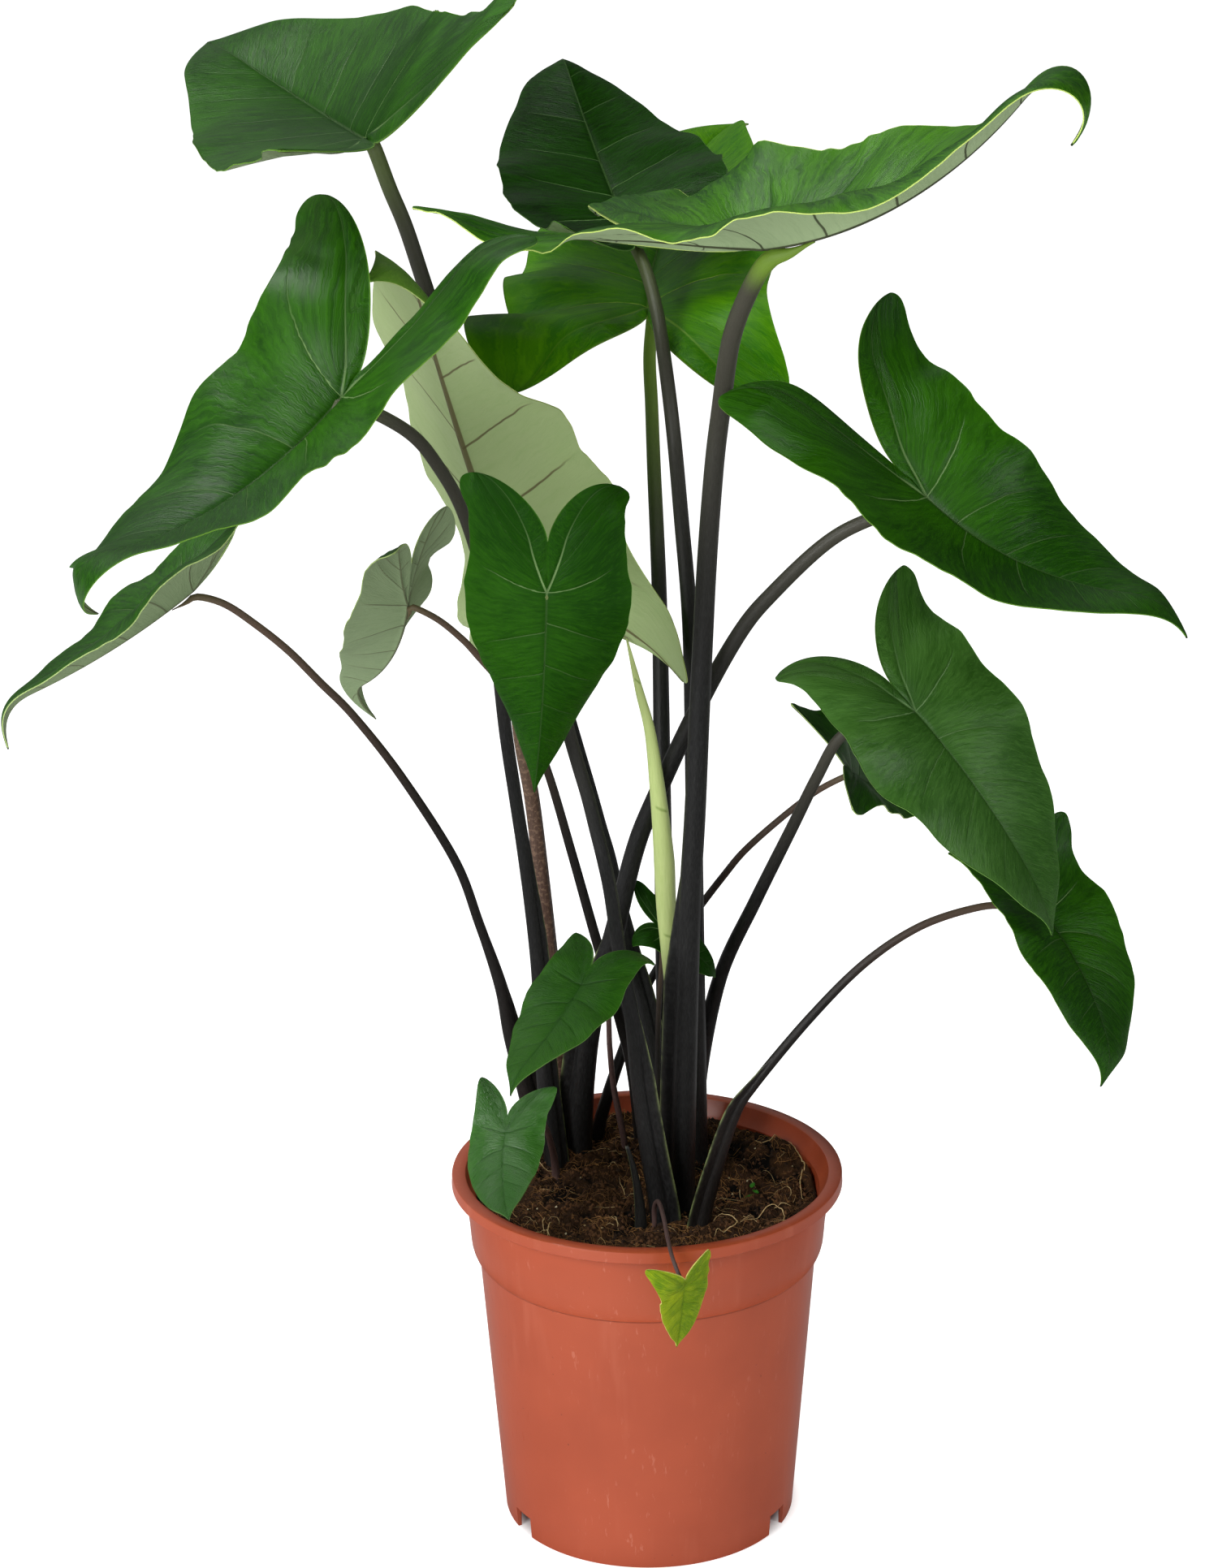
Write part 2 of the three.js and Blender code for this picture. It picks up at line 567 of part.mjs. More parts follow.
// The blade as a bent surface: point(sign, u, v) gives the place u along the midrib and v out
// from it on the left (sign 1) or right (sign -1).
function bladeSurface(leaf) {
  const heading = radians(leaf.heading);
  const tilt = radians(leaf.tilt);
  const roll = radians(leaf.roll);
  const along = new THREE.Vector3(
    Math.cos(tilt) * Math.cos(heading),
    Math.cos(tilt) * Math.sin(heading),
    Math.sin(tilt),
  );
  const level = new THREE.Vector3(-Math.sin(heading), Math.cos(heading), 0);
  const upright = new THREE.Vector3().crossVectors(along, level);
  const left = level.clone().multiplyScalar(Math.cos(roll));
  left.addScaledVector(upright, Math.sin(roll));
  const up = new THREE.Vector3().crossVectors(along, left);
  const at = new THREE.Vector3(...leaf.at);

  const pitchAhead = (x) =>
    -radians(leaf.arch * x + leaf.tipBend * smooth((x - 0.72) / 0.28));
  const yawAhead = (x) => radians(leaf.sideBend * x);
  const sums = (slope, length) => {
    const step = length / SPINE_STEPS;
    const values = [0];
    for (let i = 1; i <= SPINE_STEPS; i++) {
      const middle = (slope((i - 1) / SPINE_STEPS) + slope(i / SPINE_STEPS)) / 2;
      values.push(values[i - 1] + middle * step);
    }
    return values;
  };
  const ahead = {
    x: sums((x) => Math.cos(pitchAhead(x)) * Math.cos(yawAhead(x)), leaf.length),
    y: sums((x) => Math.cos(pitchAhead(x)) * Math.sin(yawAhead(x)), leaf.length),
    z: sums((x) => Math.sin(pitchAhead(x)), leaf.length),
  };
  const behind = {};
  for (const [sign, half] of [[1, leaf.left], [-1, leaf.right]]) {
    const start = leaf.notch / half.lobe;
    const pitch = (y) => radians(half.droop) * clamp01((y - start) / (1 - start));
    behind[sign] = {
      pitch,
      x: sums((y) => -Math.cos(pitch(y)), half.lobe),
      z: sums((y) => -Math.sin(pitch(y)), half.lobe),
    };
  }

  return (sign, u, v) => {
    const half = sign > 0 ? leaf.left : leaf.right;
    const x = clamp01(u / leaf.length);
    const y = clamp01(-u / half.lobe);
    const front = u >= 0;
    const pitch = front ? pitchAhead(x) : behind[sign].pitch(y);
    const yaw = front ? yawAhead(x) : 0;
    const spine = front
      ? [readAt(ahead.x, x), readAt(ahead.y, x), readAt(ahead.z, x)]
      : [readAt(behind[sign].x, y), 0, readAt(behind[sign].z, y)];
    const tangent = new THREE.Vector3(
      Math.cos(pitch) * Math.cos(yaw),
      Math.cos(pitch) * Math.sin(yaw),
      Math.sin(pitch),
    );
    const across = new THREE.Vector3(-Math.sin(yaw), Math.cos(yaw), 0);
    const normal = new THREE.Vector3().crossVectors(tangent, across);
    const turn = radians(leaf.twist * x);
    const outward = across.clone().multiplyScalar(Math.cos(turn));
    outward.addScaledVector(normal, Math.sin(turn));
    const raised = normal.clone().multiplyScalar(Math.cos(turn));
    raised.addScaledVector(across, -Math.sin(turn));

    const xs = smooth(x);
    const ys = smooth(y);
    const fold = half.fold * (1 - xs) * (1 - ys) + leaf.tipFold * xs + half.lobeFold * ys;
    const curl = half.curl * (1 - ys) + half.lobeCurl * ys;
    const share = v / leaf.halfWidth;
    const bend = radians(fold + 0.5 * curl * share);
    const span = leaf.length + half.lobe;
    const turns = (leaf.waves * (u + half.lobe)) / span;
    const ripple = Math.sin(2 * Math.PI * turns + radians(half.phase));
    const wave = leaf.wave * share ** 2 * ripple * clamp01(4 * (1 - x));

    const local = new THREE.Vector3(...spine);
    local.addScaledVector(outward, sign * v * Math.cos(bend));
    local.addScaledVector(raised, v * Math.sin(bend) + wave);
    const place = at.clone();
    place.addScaledVector(along, local.x);
    place.addScaledVector(left, local.y);
    place.addScaledVector(up, local.z);
    return place;
  };
}

// Upward normal of the blade at one place, from two short steps over the surface
function bladeNormal(point, sign, u, v) {
  const step = 0.5;
  const du = point(sign, u + step, v).sub(point(sign, u - step, v));
  const dv = point(sign, u, v + step).sub(point(sign, u, Math.max(0, v - step)));
  return du.cross(dv).multiplyScalar(sign).normalize();
}

// A blade: the bent surface as a sheet of even thickness, closed round its whole edge.
function blade(leaf) {
  const small = leaf.length < SMALL_BLADE_LENGTH;
  const rows = small ? SMALL_BLADE_ROWS : LARGE_BLADE_ROWS;
  const point = bladeSurface(leaf);
  const middle = [];
  const normals = [];
  const faces = [];
  const midrib = [];
  let tip = -1;
  const addPoint = (sign, u, v) => {
    middle.push(point(sign, u, v));
    normals.push(bladeNormal(point, sign, u, v));
    return middle.length - 1;
  };
  for (const [sign, half] of [[1, leaf.left], [-1, leaf.right]]) {
    const places = [];
    for (let i = 0; i <= rows.behind; i++) {
      const along = 1 - Math.cos((Math.PI / 2) * (i / rows.behind));
      places.push(-half.lobe + (half.lobe - leaf.notch) * along);
    }
    places.push(0);
    for (let i = 1; i < rows.ahead; i++) places.push((leaf.length * i) / (rows.ahead - 1));
    const grid = places.map((u, i) => {
      const inner = i < rows.behind ? innerEdge(leaf, half, u) : 0;
      const outer = outerEdge(leaf, half, u);
      if (i === 0) return Array(rows.across + 1).fill(addPoint(sign, u, outer));
      if (i === places.length - 1) {
        if (tip < 0) tip = addPoint(sign, u, 0);
        return Array(rows.across + 1).fill(tip);
      }
      const line = [];
      for (let j = 0; j <= rows.across; j++) {
        const v = mix(inner, outer, j / rows.across);
        if (j === 0 && i >= rows.behind) {
          if (sign > 0) midrib[i - rows.behind] = addPoint(sign, u, 0);
          else normals[midrib[i - rows.behind]].add(bladeNormal(point, sign, u, 0)).normalize();
          line.push(midrib[i - rows.behind]);
        } else line.push(addPoint(sign, u, v));
      }
      return line;
    });
    for (let i = 0; i < grid.length - 1; i++)
      for (let j = 0; j < rows.across; j++) {
        const [a, b, c, d] = [grid[i][j], grid[i + 1][j], grid[i + 1][j + 1], grid[i][j + 1]];
        const pair = [[a, b, c], [a, c, d]];
        for (const [p, q, r] of pair)
          if (p !== q && q !== r && r !== p) faces.push(sign > 0 ? [p, q, r] : [p, r, q]);
      }
  }
  const half = BLADE_THICKNESS / 2;
  const top = middle.map((p, i) => p.clone().addScaledVector(normals[i], half));
  const under = middle.map((p, i) => p.clone().addScaledVector(normals[i], -half));
  const n = middle.length;
  const triangles = [...faces, ...faces.map(([p, q, r]) => [p + n, r + n, q + n])];
  const seen = new Set(faces.flatMap(([p, q, r]) => [`${p} ${q}`, `${q} ${r}`, `${r} ${p}`]));
  for (const edge of seen) {
    const [p, q] = edge.split(" ").map(Number);
    if (!seen.has(`${q} ${p}`)) triangles.push([q, p, p + n], [q, p + n, q + n]);
  }
  return geometryOf([...top, ...under], triangles);
}

// A smooth curve through points, sampled at even steps of its length
function evenCurve(points, spacing) {
  const before = points[0].clone().multiplyScalar(2).sub(points[1]);
  const after = points.at(-1).clone().multiplyScalar(2).sub(points.at(-2));
  const all = [before, ...points, after];
  const dense = [];
  const perSpan = 14;
  for (let i = 1; i < all.length - 2; i++)
    for (let k = 0; k < perSpan; k++) {
      const t = k / perSpan;
      const place = new THREE.Vector3();
      place.addScaledVector(all[i - 1], 0.5 * (-t + 2 * t ** 2 - t ** 3));
      place.addScaledVector(all[i], 0.5 * (2 - 5 * t ** 2 + 3 * t ** 3));
      place.addScaledVector(all[i + 1], 0.5 * (t + 4 * t ** 2 - 3 * t ** 3));
      place.addScaledVector(all[i + 2], 0.5 * (-(t ** 2) + t ** 3));
      dense.push(place);
    }
  dense.push(points.at(-1).clone());
  const reached = [0];
  for (let i = 1; i < dense.length; i++)
    reached.push(reached[i - 1] + dense[i].distanceTo(dense[i - 1]));
  const total = reached.at(-1);
  const count = Math.max(4, Math.round(total / spacing));
  const curve = [];
  let j = 0;
  for (let k = 0; k <= count; k++) {
    const target = (total * k) / count;
    while (j < dense.length - 2 && reached[j + 1] < target) j++;
    const share = (target - reached[j]) / (reached[j + 1] - reached[j]);
    curve.push(dense[j].clone().lerp(dense[j + 1], clamp01(share)));
  }
  return { curve, total };
}

// A closed round bar along a curve. radiusAt(distance, angle) is measured from its lower end.
function bar(path, radiusAt, sides) {
  const { curve, total } = path;
  const points = [];
  const triangles = [];
  let across = new THREE.Vector3(1, 0, 0);
  for (let i = 0; i < curve.length; i++) {
    const next = curve[Math.min(i + 1, curve.length - 1)];
    const last = curve[Math.max(i - 1, 0)];
    const tangent = next.clone().sub(last).normalize();
    across = across.clone().addScaledVector(tangent, -across.dot(tangent)).normalize();
    const away = new THREE.Vector3().crossVectors(tangent, across);
    for (let k = 0; k < sides; k++) {
      const angle = (2 * Math.PI * k) / sides;
      const radius = radiusAt((total * i) / (curve.length - 1), angle);
      const place = curve[i].clone();
      place.addScaledVector(across, radius * Math.cos(angle));
      place.addScaledVector(away, radius * Math.sin(angle));
      points.push(place);
    }
  }
  const ring = (i, k) => i * sides + (k % sides);
  for (let i = 0; i < curve.length - 1; i++)
    for (let k = 0; k < sides; k++) {
      triangles.push([ring(i, k), ring(i, k + 1), ring(i + 1, k + 1)]);
      triangles.push([ring(i, k), ring(i + 1, k + 1), ring(i + 1, k)]);
    }
  const top = curve.length - 1;
  for (let k = 1; k < sides - 1; k++) {
    triangles.push([ring(0, 0), ring(0, k + 1), ring(0, k)]);
    triangles.push([ring(top, 0), ring(top, k), ring(top, k + 1)]);
  }
  return geometryOf(points, triangles);
}

// The stalk's points: a buried foot, the listed points, and the end tucked under its blade.
function stalkPoints(name) {
  const stalk = STALKS[name];
  const points = stalk.path.map((p) => new THREE.Vector3(...p));
  const leaf = LEAVES[name];
  if (leaf) {
    const normal = bladeNormal(bladeSurface(leaf), 1, 0, 0);
    normal.add(bladeNormal(bladeSurface(leaf), -1, 0, 0)).normalize();
    const at = new THREE.Vector3(...leaf.at);
    const facing = at.clone().sub(points.at(-1)).normalize().dot(normal);
    const reach = stalk.radii[2] * Math.sqrt(Math.max(0, 1 - facing ** 2));
    points.push(at.addScaledVector(normal, -(BLADE_THICKNESS / 2 + STALK_GAP + reach)));
  }
  const foot = points[0].clone();
  foot.z -= STALK_BURIED;
  return [foot, ...points];
}

// Stalk radius at a distance from its foot and an angle round it, with the winged sheath edges
function stalkRadius(stalk, total, extra) {
  const [low, mid, high] = stalk.radii;
  return (distance, angle) => {
    const t = distance / total;
    const round = t < 0.35 ? mix(low, mid, t / 0.35) : mix(mid, high, (t - 0.35) / 0.65);
    if (!stalk.sheath) return round + extra;
    const [side, reach, flap] = stalk.sheath;
    const facing = Math.max(0, Math.cos(angle - radians(side)));
    const wing = flap * facing ** 10 * clamp01(2.4 * (1 - distance / reach));
    return round + wing + extra;
  };
}

function stalk(name, extra = 0) {
  const path = evenCurve(stalkPoints(name), STALK_RING_SPACING);
  const sides = STALKS[name].radii[0] < THIN_STALK_RADIUS ? THIN_STALK_SIDES : STALK_SIDES;
  return bar(path, stalkRadius(STALKS[name], path.total, extra), sides);
}

// The hole that a stalk leaves in the soil: its own foot, a little wider, open at the top
function stalkHole(name) {
  const path = evenCurve(stalkPoints(name), STALK_RING_SPACING);
  const step = path.total / (path.curve.length - 1);
  const rings = Math.ceil((STALK_BURIED + 26) / step) + 1;
  const curve = path.curve.slice(0, rings);
  const sides = STALKS[name].radii[0] < THIN_STALK_RADIUS ? THIN_STALK_SIDES : STALK_SIDES;
  const radiusAt = stalkRadius(STALKS[name], path.total, HOLE_GAP);
  const start = curve[0].clone();
  start.z -= HOLE_FOOT_GAP;
  const lowered = [start, ...curve];
  const distances = [0, ...curve.map((_, i) => i * step)];
  const part = { curve: lowered, total: lowered.length - 1 };
  return bar(part, (place, angle) => radiusAt(distances[Math.round(place)], angle), sides);
}

function pot() {
  const bodyRadius = (z) => mix(BASE_RADIUS, BODY_TOP_RADIUS, z / BODY_TOP_Z);
  const underRim = POT_HEIGHT - RIM_DEPTH;
  const profile = [
    [0, FLOOR_Z],
    [bodyRadius(FLOOR_Z) - WALL, FLOOR_Z],
    [BASE_RADIUS - WALL, 0],
    [BASE_RADIUS, 0],
    [BODY_TOP_RADIUS, BODY_TOP_Z],
    [BODY_TOP_RADIUS + 1.1, BODY_TOP_Z + 4],
    [COLLAR_RADIUS - 1.6, COLLAR_STEP_Z - 4.5],
    [COLLAR_RADIUS - 0.4, COLLAR_STEP_Z],
    [COLLAR_RADIUS, underRim],
    [RIM_RADIUS - 0.9, underRim + 0.2],
    [RIM_RADIUS, underRim + 1.2],
    [RIM_RADIUS, POT_HEIGHT - 1.4],
    [RIM_RADIUS - 1.3, POT_HEIGHT],
    [RIM_INNER_RADIUS + 1.2, POT_HEIGHT],
    [RIM_INNER_RADIUS, POT_HEIGHT - 1.2],
    [COLLAR_RADIUS - WALL + 0.6, underRim - 3],
    [COLLAR_RADIUS - 0.4 - WALL, COLLAR_STEP_Z],
    [BODY_TOP_RADIUS - WALL + 0.2, BODY_TOP_Z + 1],
    [bodyRadius(FLOOR_Z + FLOOR_THICKNESS) - WALL, FLOOR_Z + FLOOR_THICKNESS],
    [0, FLOOR_Z + FLOOR_THICKNESS],
  ];
  const lathe = new THREE.LatheGeometry(
    profile.map(([r, z]) => new THREE.Vector2(r, z)),
    POT_SEGMENTS,
  );
  lathe.rotateX(Math.PI / 2);
  let solid = toSolid(lathe);
  for (let i = 0; i < FOOT_CUTS; i++) {
    const cut = new THREE.BoxGeometry(30, FOOT_CUT_WIDTH, 2 * FOOT_CUT_HEIGHT);
    cut.translate(BASE_RADIUS, 0, 0);
    cut.rotateZ(radians(-30 + (360 * i) / FOOT_CUTS));
    solid = solid.subtract(toSolid(cut));
  }
  for (let i = 0; i < DRAIN_HOLES; i++) {
    const hole = new THREE.CylinderGeometry(DRAIN_HOLE_RADIUS, DRAIN_HOLE_RADIUS, 20, 16);
    hole.rotateX(Math.PI / 2);
    const angle = (2 * Math.PI * i) / DRAIN_HOLES;
    const x = DRAIN_CIRCLE_RADIUS * Math.cos(angle);
    hole.translate(x, DRAIN_CIRCLE_RADIUS * Math.sin(angle), FLOOR_Z);
    solid = solid.subtract(toSolid(hole));
  }
  return fromSolid(solid);
}

// Height of the uneven soil surface above the ground
function soilHeight(x, y) {
  const away = Math.hypot(x - SOIL_MOUND_AT[0], y - SOIL_MOUND_AT[1]);
  const mound = SOIL_MOUND_HEIGHT * (1 - smooth(away / SOIL_MOUND_RADIUS));
  const bumps = Math.sin(x / 9 + 1) * Math.cos(y / 8) + 0.7 * Math.sin(x / 5 - y / 6);
  return SOIL_TOP + SOIL_BACK_RISE * smooth((y + 25) / 85) + mound + SOIL_BUMP * bumps;
}

function soil() {
  const segments = 36;
  const circles = 8;
  const bodyRadius = (z) => mix(BASE_RADIUS, BODY_TOP_RADIUS, z / BODY_TOP_Z) - WALL - SOIL_GAP;
  const floor = FLOOR_Z + FLOOR_THICKNESS + SOIL_GAP;
  const topRadius = COLLAR_RADIUS - WALL - SOIL_GAP - 0.5;
  const outline = [
    [bodyRadius(floor), floor],
    [bodyRadius(BODY_TOP_Z), BODY_TOP_Z],
    [topRadius - 0.4, COLLAR_STEP_Z + 1],
  ];
  // The round wall has flat facets, so the soil stays inside their middles.
  const inside = Math.cos(Math.PI / POT_SEGMENTS);
  const points = [];
  const rings = [];
  const ringAt = (radius, heightAt) => {
    const ring = [];
    for (let k = 0; k < segments; k++) {
      const angle = (2 * Math.PI * k) / segments;
      const x = radius * Math.cos(angle);
      const y = radius * Math.sin(angle);
      ring.push(points.push(new THREE.Vector3(x, y, heightAt(x, y))) - 1);
    }
    rings.push(ring);
  };
  for (const [radius, z] of outline) ringAt(radius * inside, () => z);
  for (let i = 0; i < circles; i++) ringAt(topRadius * inside * (1 - i / circles), soilHeight);
  const bottom = points.push(new THREE.Vector3(0, 0, floor)) - 1;
  const peak = points.push(new THREE.Vector3(0, 0, soilHeight(0, 0))) - 1;
  const triangles = [];
  for (let k = 0; k < segments; k++) {
    const next = (k + 1) % segments;
    triangles.push([bottom, rings[0][next], rings[0][k]]);
    for (let i = 0; i < rings.length - 1; i++) {
      triangles.push([rings[i][k], rings[i][next], rings[i + 1][next]]);
      triangles.push([rings[i][k], rings[i + 1][next], rings[i + 1][k]]);
    }
    triangles.push([rings.at(-1)[k], rings.at(-1)[next], peak]);
  }
  let solid = toSolid(geometryOf(points, triangles));
  for (const name of Object.keys(STALKS)) solid = solid.subtract(toSolid(stalkHole(name)));
  return fromSolid(solid);
}

const part = new THREE.Group();
function addNode(name, geometry, finish) {
  geometry.translate(POT_AXIS_X, POT_AXIS_Y, 0);
  geometry.computeVertexNormals();
  const mesh = new THREE.Mesh(geometry, new THREE.MeshStandardMaterial(finish));
  mesh.name = name;
  part.add(mesh);
}

addNode("pot", pot(), TERRACOTTA);
addNode("soil", soil(), SOIL);
for (const [name, leaf] of Object.entries(LEAVES)) {
  addNode(`blade_${name}`, blade(leaf), leaf.finish ?? DARK_GREEN);
}
for (const [name, { finish }] of Object.entries(STALKS)) {
  const nodeName = name in LEAVES ? `stalk_${name}` : name;
  addNode(nodeName, stalk(name), finish ?? BLACK_STALK);
}

export default part;
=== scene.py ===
# %% [markdown]
# # Potted black zebrina alocasia
# This notebook dresses a plain model of a houseplant: a terracotta-coloured nursery pot, soil,
# seventeen arrow-shaped leaves on dark stalks and one leaf that is still rolled. The plain model
# gives each piece its place and size. Here each piece is made again with finer surfaces, and gets
# its veins, grain, gloss and colour. Lengths in the tables are millimetres, as in the plain model,
# and places count from the foot of the pot's axis, which stands at POT_AXIS. Blender works in
# metres, so every mesh is moved by POT_AXIS and scaled by MM when it is put into the scene.

import math
from collections import namedtuple

import bpy
import numpy as np
from mathutils import Matrix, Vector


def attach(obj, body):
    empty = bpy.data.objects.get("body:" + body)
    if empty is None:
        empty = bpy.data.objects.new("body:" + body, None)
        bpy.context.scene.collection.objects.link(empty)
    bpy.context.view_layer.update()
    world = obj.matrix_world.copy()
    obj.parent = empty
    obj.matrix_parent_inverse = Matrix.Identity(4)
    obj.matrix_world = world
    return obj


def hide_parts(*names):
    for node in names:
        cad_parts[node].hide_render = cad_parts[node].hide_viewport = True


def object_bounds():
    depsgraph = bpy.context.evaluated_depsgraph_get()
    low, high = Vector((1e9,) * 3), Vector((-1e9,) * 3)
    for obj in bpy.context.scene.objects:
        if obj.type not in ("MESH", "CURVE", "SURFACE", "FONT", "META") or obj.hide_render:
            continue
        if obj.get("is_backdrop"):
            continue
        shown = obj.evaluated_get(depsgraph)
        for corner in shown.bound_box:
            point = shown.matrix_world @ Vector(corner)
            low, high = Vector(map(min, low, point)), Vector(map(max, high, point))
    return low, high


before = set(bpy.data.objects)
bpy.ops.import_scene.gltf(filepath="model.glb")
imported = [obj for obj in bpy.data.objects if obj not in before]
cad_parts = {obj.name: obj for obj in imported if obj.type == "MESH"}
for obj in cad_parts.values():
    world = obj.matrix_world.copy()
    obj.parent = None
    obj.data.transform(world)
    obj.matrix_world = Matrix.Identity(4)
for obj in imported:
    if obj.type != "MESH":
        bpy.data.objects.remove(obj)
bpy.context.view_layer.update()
MM = 0.001
FULL_TURN = 2 * math.pi
POT_AXIS = np.array([33.5, -107.3, 0.0])
LATTICE = 61


def smooth(t):
    """S-shaped step: 0 below 0, 1 above 1, level at both ends."""
    t = np.clip(t, 0, 1)
    return t * t * (3 - 2 * t)


def unit(vectors):
    """Each vector divided by its own length."""
    return vectors / np.maximum(np.linalg.norm(vectors, axis=-1, keepdims=True), 1e-12)


def value_noise(x, y, cell, seed):
    """Random heights from -1 to 1 on a square lattice, blended between with the S-shaped step. The
    lattice starts again after LATTICE cells."""
    table = np.random.default_rng(seed).random((LATTICE, LATTICE)) * 2 - 1
    i, j = np.floor(x / cell).astype(int), np.floor(y / cell).astype(int)
    fx, fy = smooth(x / cell - i), smooth(y / cell - j)
    corner = lambda a, b: table[(i + a) % LATTICE, (j + b) % LATTICE]
    low = corner(0, 0) * (1 - fx) + corner(1, 0) * fx
    high = corner(0, 1) * (1 - fx) + corner(1, 1) * fx
    return low * (1 - fy) + high * fy


def put(name, data):
    """A new object with that data, in the scene."""
    made = bpy.data.objects.new(name, data)
    bpy.context.scene.collection.objects.link(made)
    return made


def add_piece(name, points, faces, material, node=None, marks=None):
    """Puts points in mm and triangles into a mesh. Faces that have lost their area where rows meet
    in one point are left out. The piece takes the place of the plain model's node, and its slot
    names its colour. marks are named values, one for each point."""
    faces = np.asarray(faces)
    a, b, c = faces.T
    faces = faces[(a != b) & (b != c) & (c != a)]
    used, faces = np.unique(faces, return_inverse=True)
    faces = faces.reshape(-1, 3)
    place = (np.asarray(points)[used] + POT_AXIS) * MM
    mesh = bpy.data.meshes.new(name)
    mesh.from_pydata(place.tolist(), [], faces.tolist())
    for label, values in (marks or {}).items():
        layer = mesh.attributes.new(label, "FLOAT", "POINT")
        layer.data.foreach_set("value", np.asarray(values, np.float32).ravel()[used])
    mesh.materials.append(material)
    mesh.shade_smooth()
    piece = put(name, mesh)
    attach(piece, "root")
    if node:
        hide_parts(node)
    return piece


def grid_faces(index, closed=False):
    """Two triangles for each cell of a grid of point numbers. A closed grid joins its last column
    to its first."""
    if closed:
        index = np.hstack([index, index[:, :1]])
    a, b, c, d = index[:-1, :-1], index[1:, :-1], index[1:, 1:], index[:-1, 1:]
    return np.concatenate([np.stack([a, b, c], -1), np.stack([a, c, d], -1)]).reshape(-1, 3)


def report(piece):
    """Prints what was made."""
    print(piece.name, len(piece.data.polygons), "faces")


# %% [markdown]
# ## Camera
# The picture was taken from about 2.2 m away and a little above, with a long lens. The camera is
# placed from three facts: where it stands, how far it looks down and how much it leans sideways.
# Its axes are written as the columns of a matrix, because that shows which way each one points.

# %% Camera
EYE = np.array([-18.21, -1943.56, 1089.24])
LOOK_DOWN, LEAN = math.radians(19.072), math.radians(-0.608)
LENS_PIXELS, IMAGE_HEIGHT = 4867.47, 1931
FILM_HEIGHT = 36


def pose(x_axis, y_axis, z_axis, place):
    """The matrix that puts an object at place, in metres, with its three axes as given."""
    columns = np.eye(4)
    columns[:3] = np.stack([x_axis, y_axis, z_axis, place], -1)
    return Matrix(columns.tolist())


level = np.array([1.0, 0, 0])
ahead = np.array([0, math.cos(LOOK_DOWN), -math.sin(LOOK_DOWN)])
above = np.cross(level, ahead)
right = math.cos(LEAN) * level + math.sin(LEAN) * above
upward = math.cos(LEAN) * above - math.sin(LEAN) * level

camera_data = bpy.data.cameras.new("camera")
camera_data.sensor_fit = "VERTICAL"
camera_data.sensor_height = FILM_HEIGHT
camera_data.lens = LENS_PIXELS / IMAGE_HEIGHT * FILM_HEIGHT
camera_data.clip_end = 50
camera = put("camera", camera_data)
camera.matrix_world = pose(right, upward, -ahead, (EYE + POT_AXIS) * MM)
bpy.context.scene.camera = camera
print("lens:", round(camera_data.lens, 2), "mm")

# %% [markdown]
# ## Shader arithmetic
# A finish is a small sum: take a pattern, scale it, mix two colours by it. Blender does this with
# nodes. Here a socket is wrapped in a class that understands + - * /, so that a finish reads like
# a formula, and one method adds every other kind of node. The light of the room is a sum of the
# same kind, so it is written with the same helpers.

# %% Shader helpers
def operation(kind):
    """The two methods for one operator: value with other, and other with value."""
    def forward(self, other):
        return self.nodes.node("ShaderNodeMath", {"operation": kind}, {0: self, 1: other})

    def reflected(self, other):
        return self.nodes.node("ShaderNodeMath", {"operation": kind}, {0: other, 1: self})

    return forward, reflected


class Value:
    """A socket that can stand in a Python sum."""

    def __init__(self, nodes, socket):
        self.nodes, self.socket = nodes, socket

    __add__, __radd__ = operation("ADD")
    __sub__, __rsub__ = operation("SUBTRACT")
    __mul__, __rmul__ = operation("MULTIPLY")
    __truediv__, __rtruediv__ = operation("DIVIDE")


def rgb(red, green, blue):
    """A colour given as screen values from 0 to 255, turned into the linear values of a shader."""
    screen = [v / 255 for v in (red, green, blue)]
    return tuple(v / 12.92 if v < 0.04045 else ((v + 0.055) / 1.055) ** 2.4 for v in screen) + (1,)


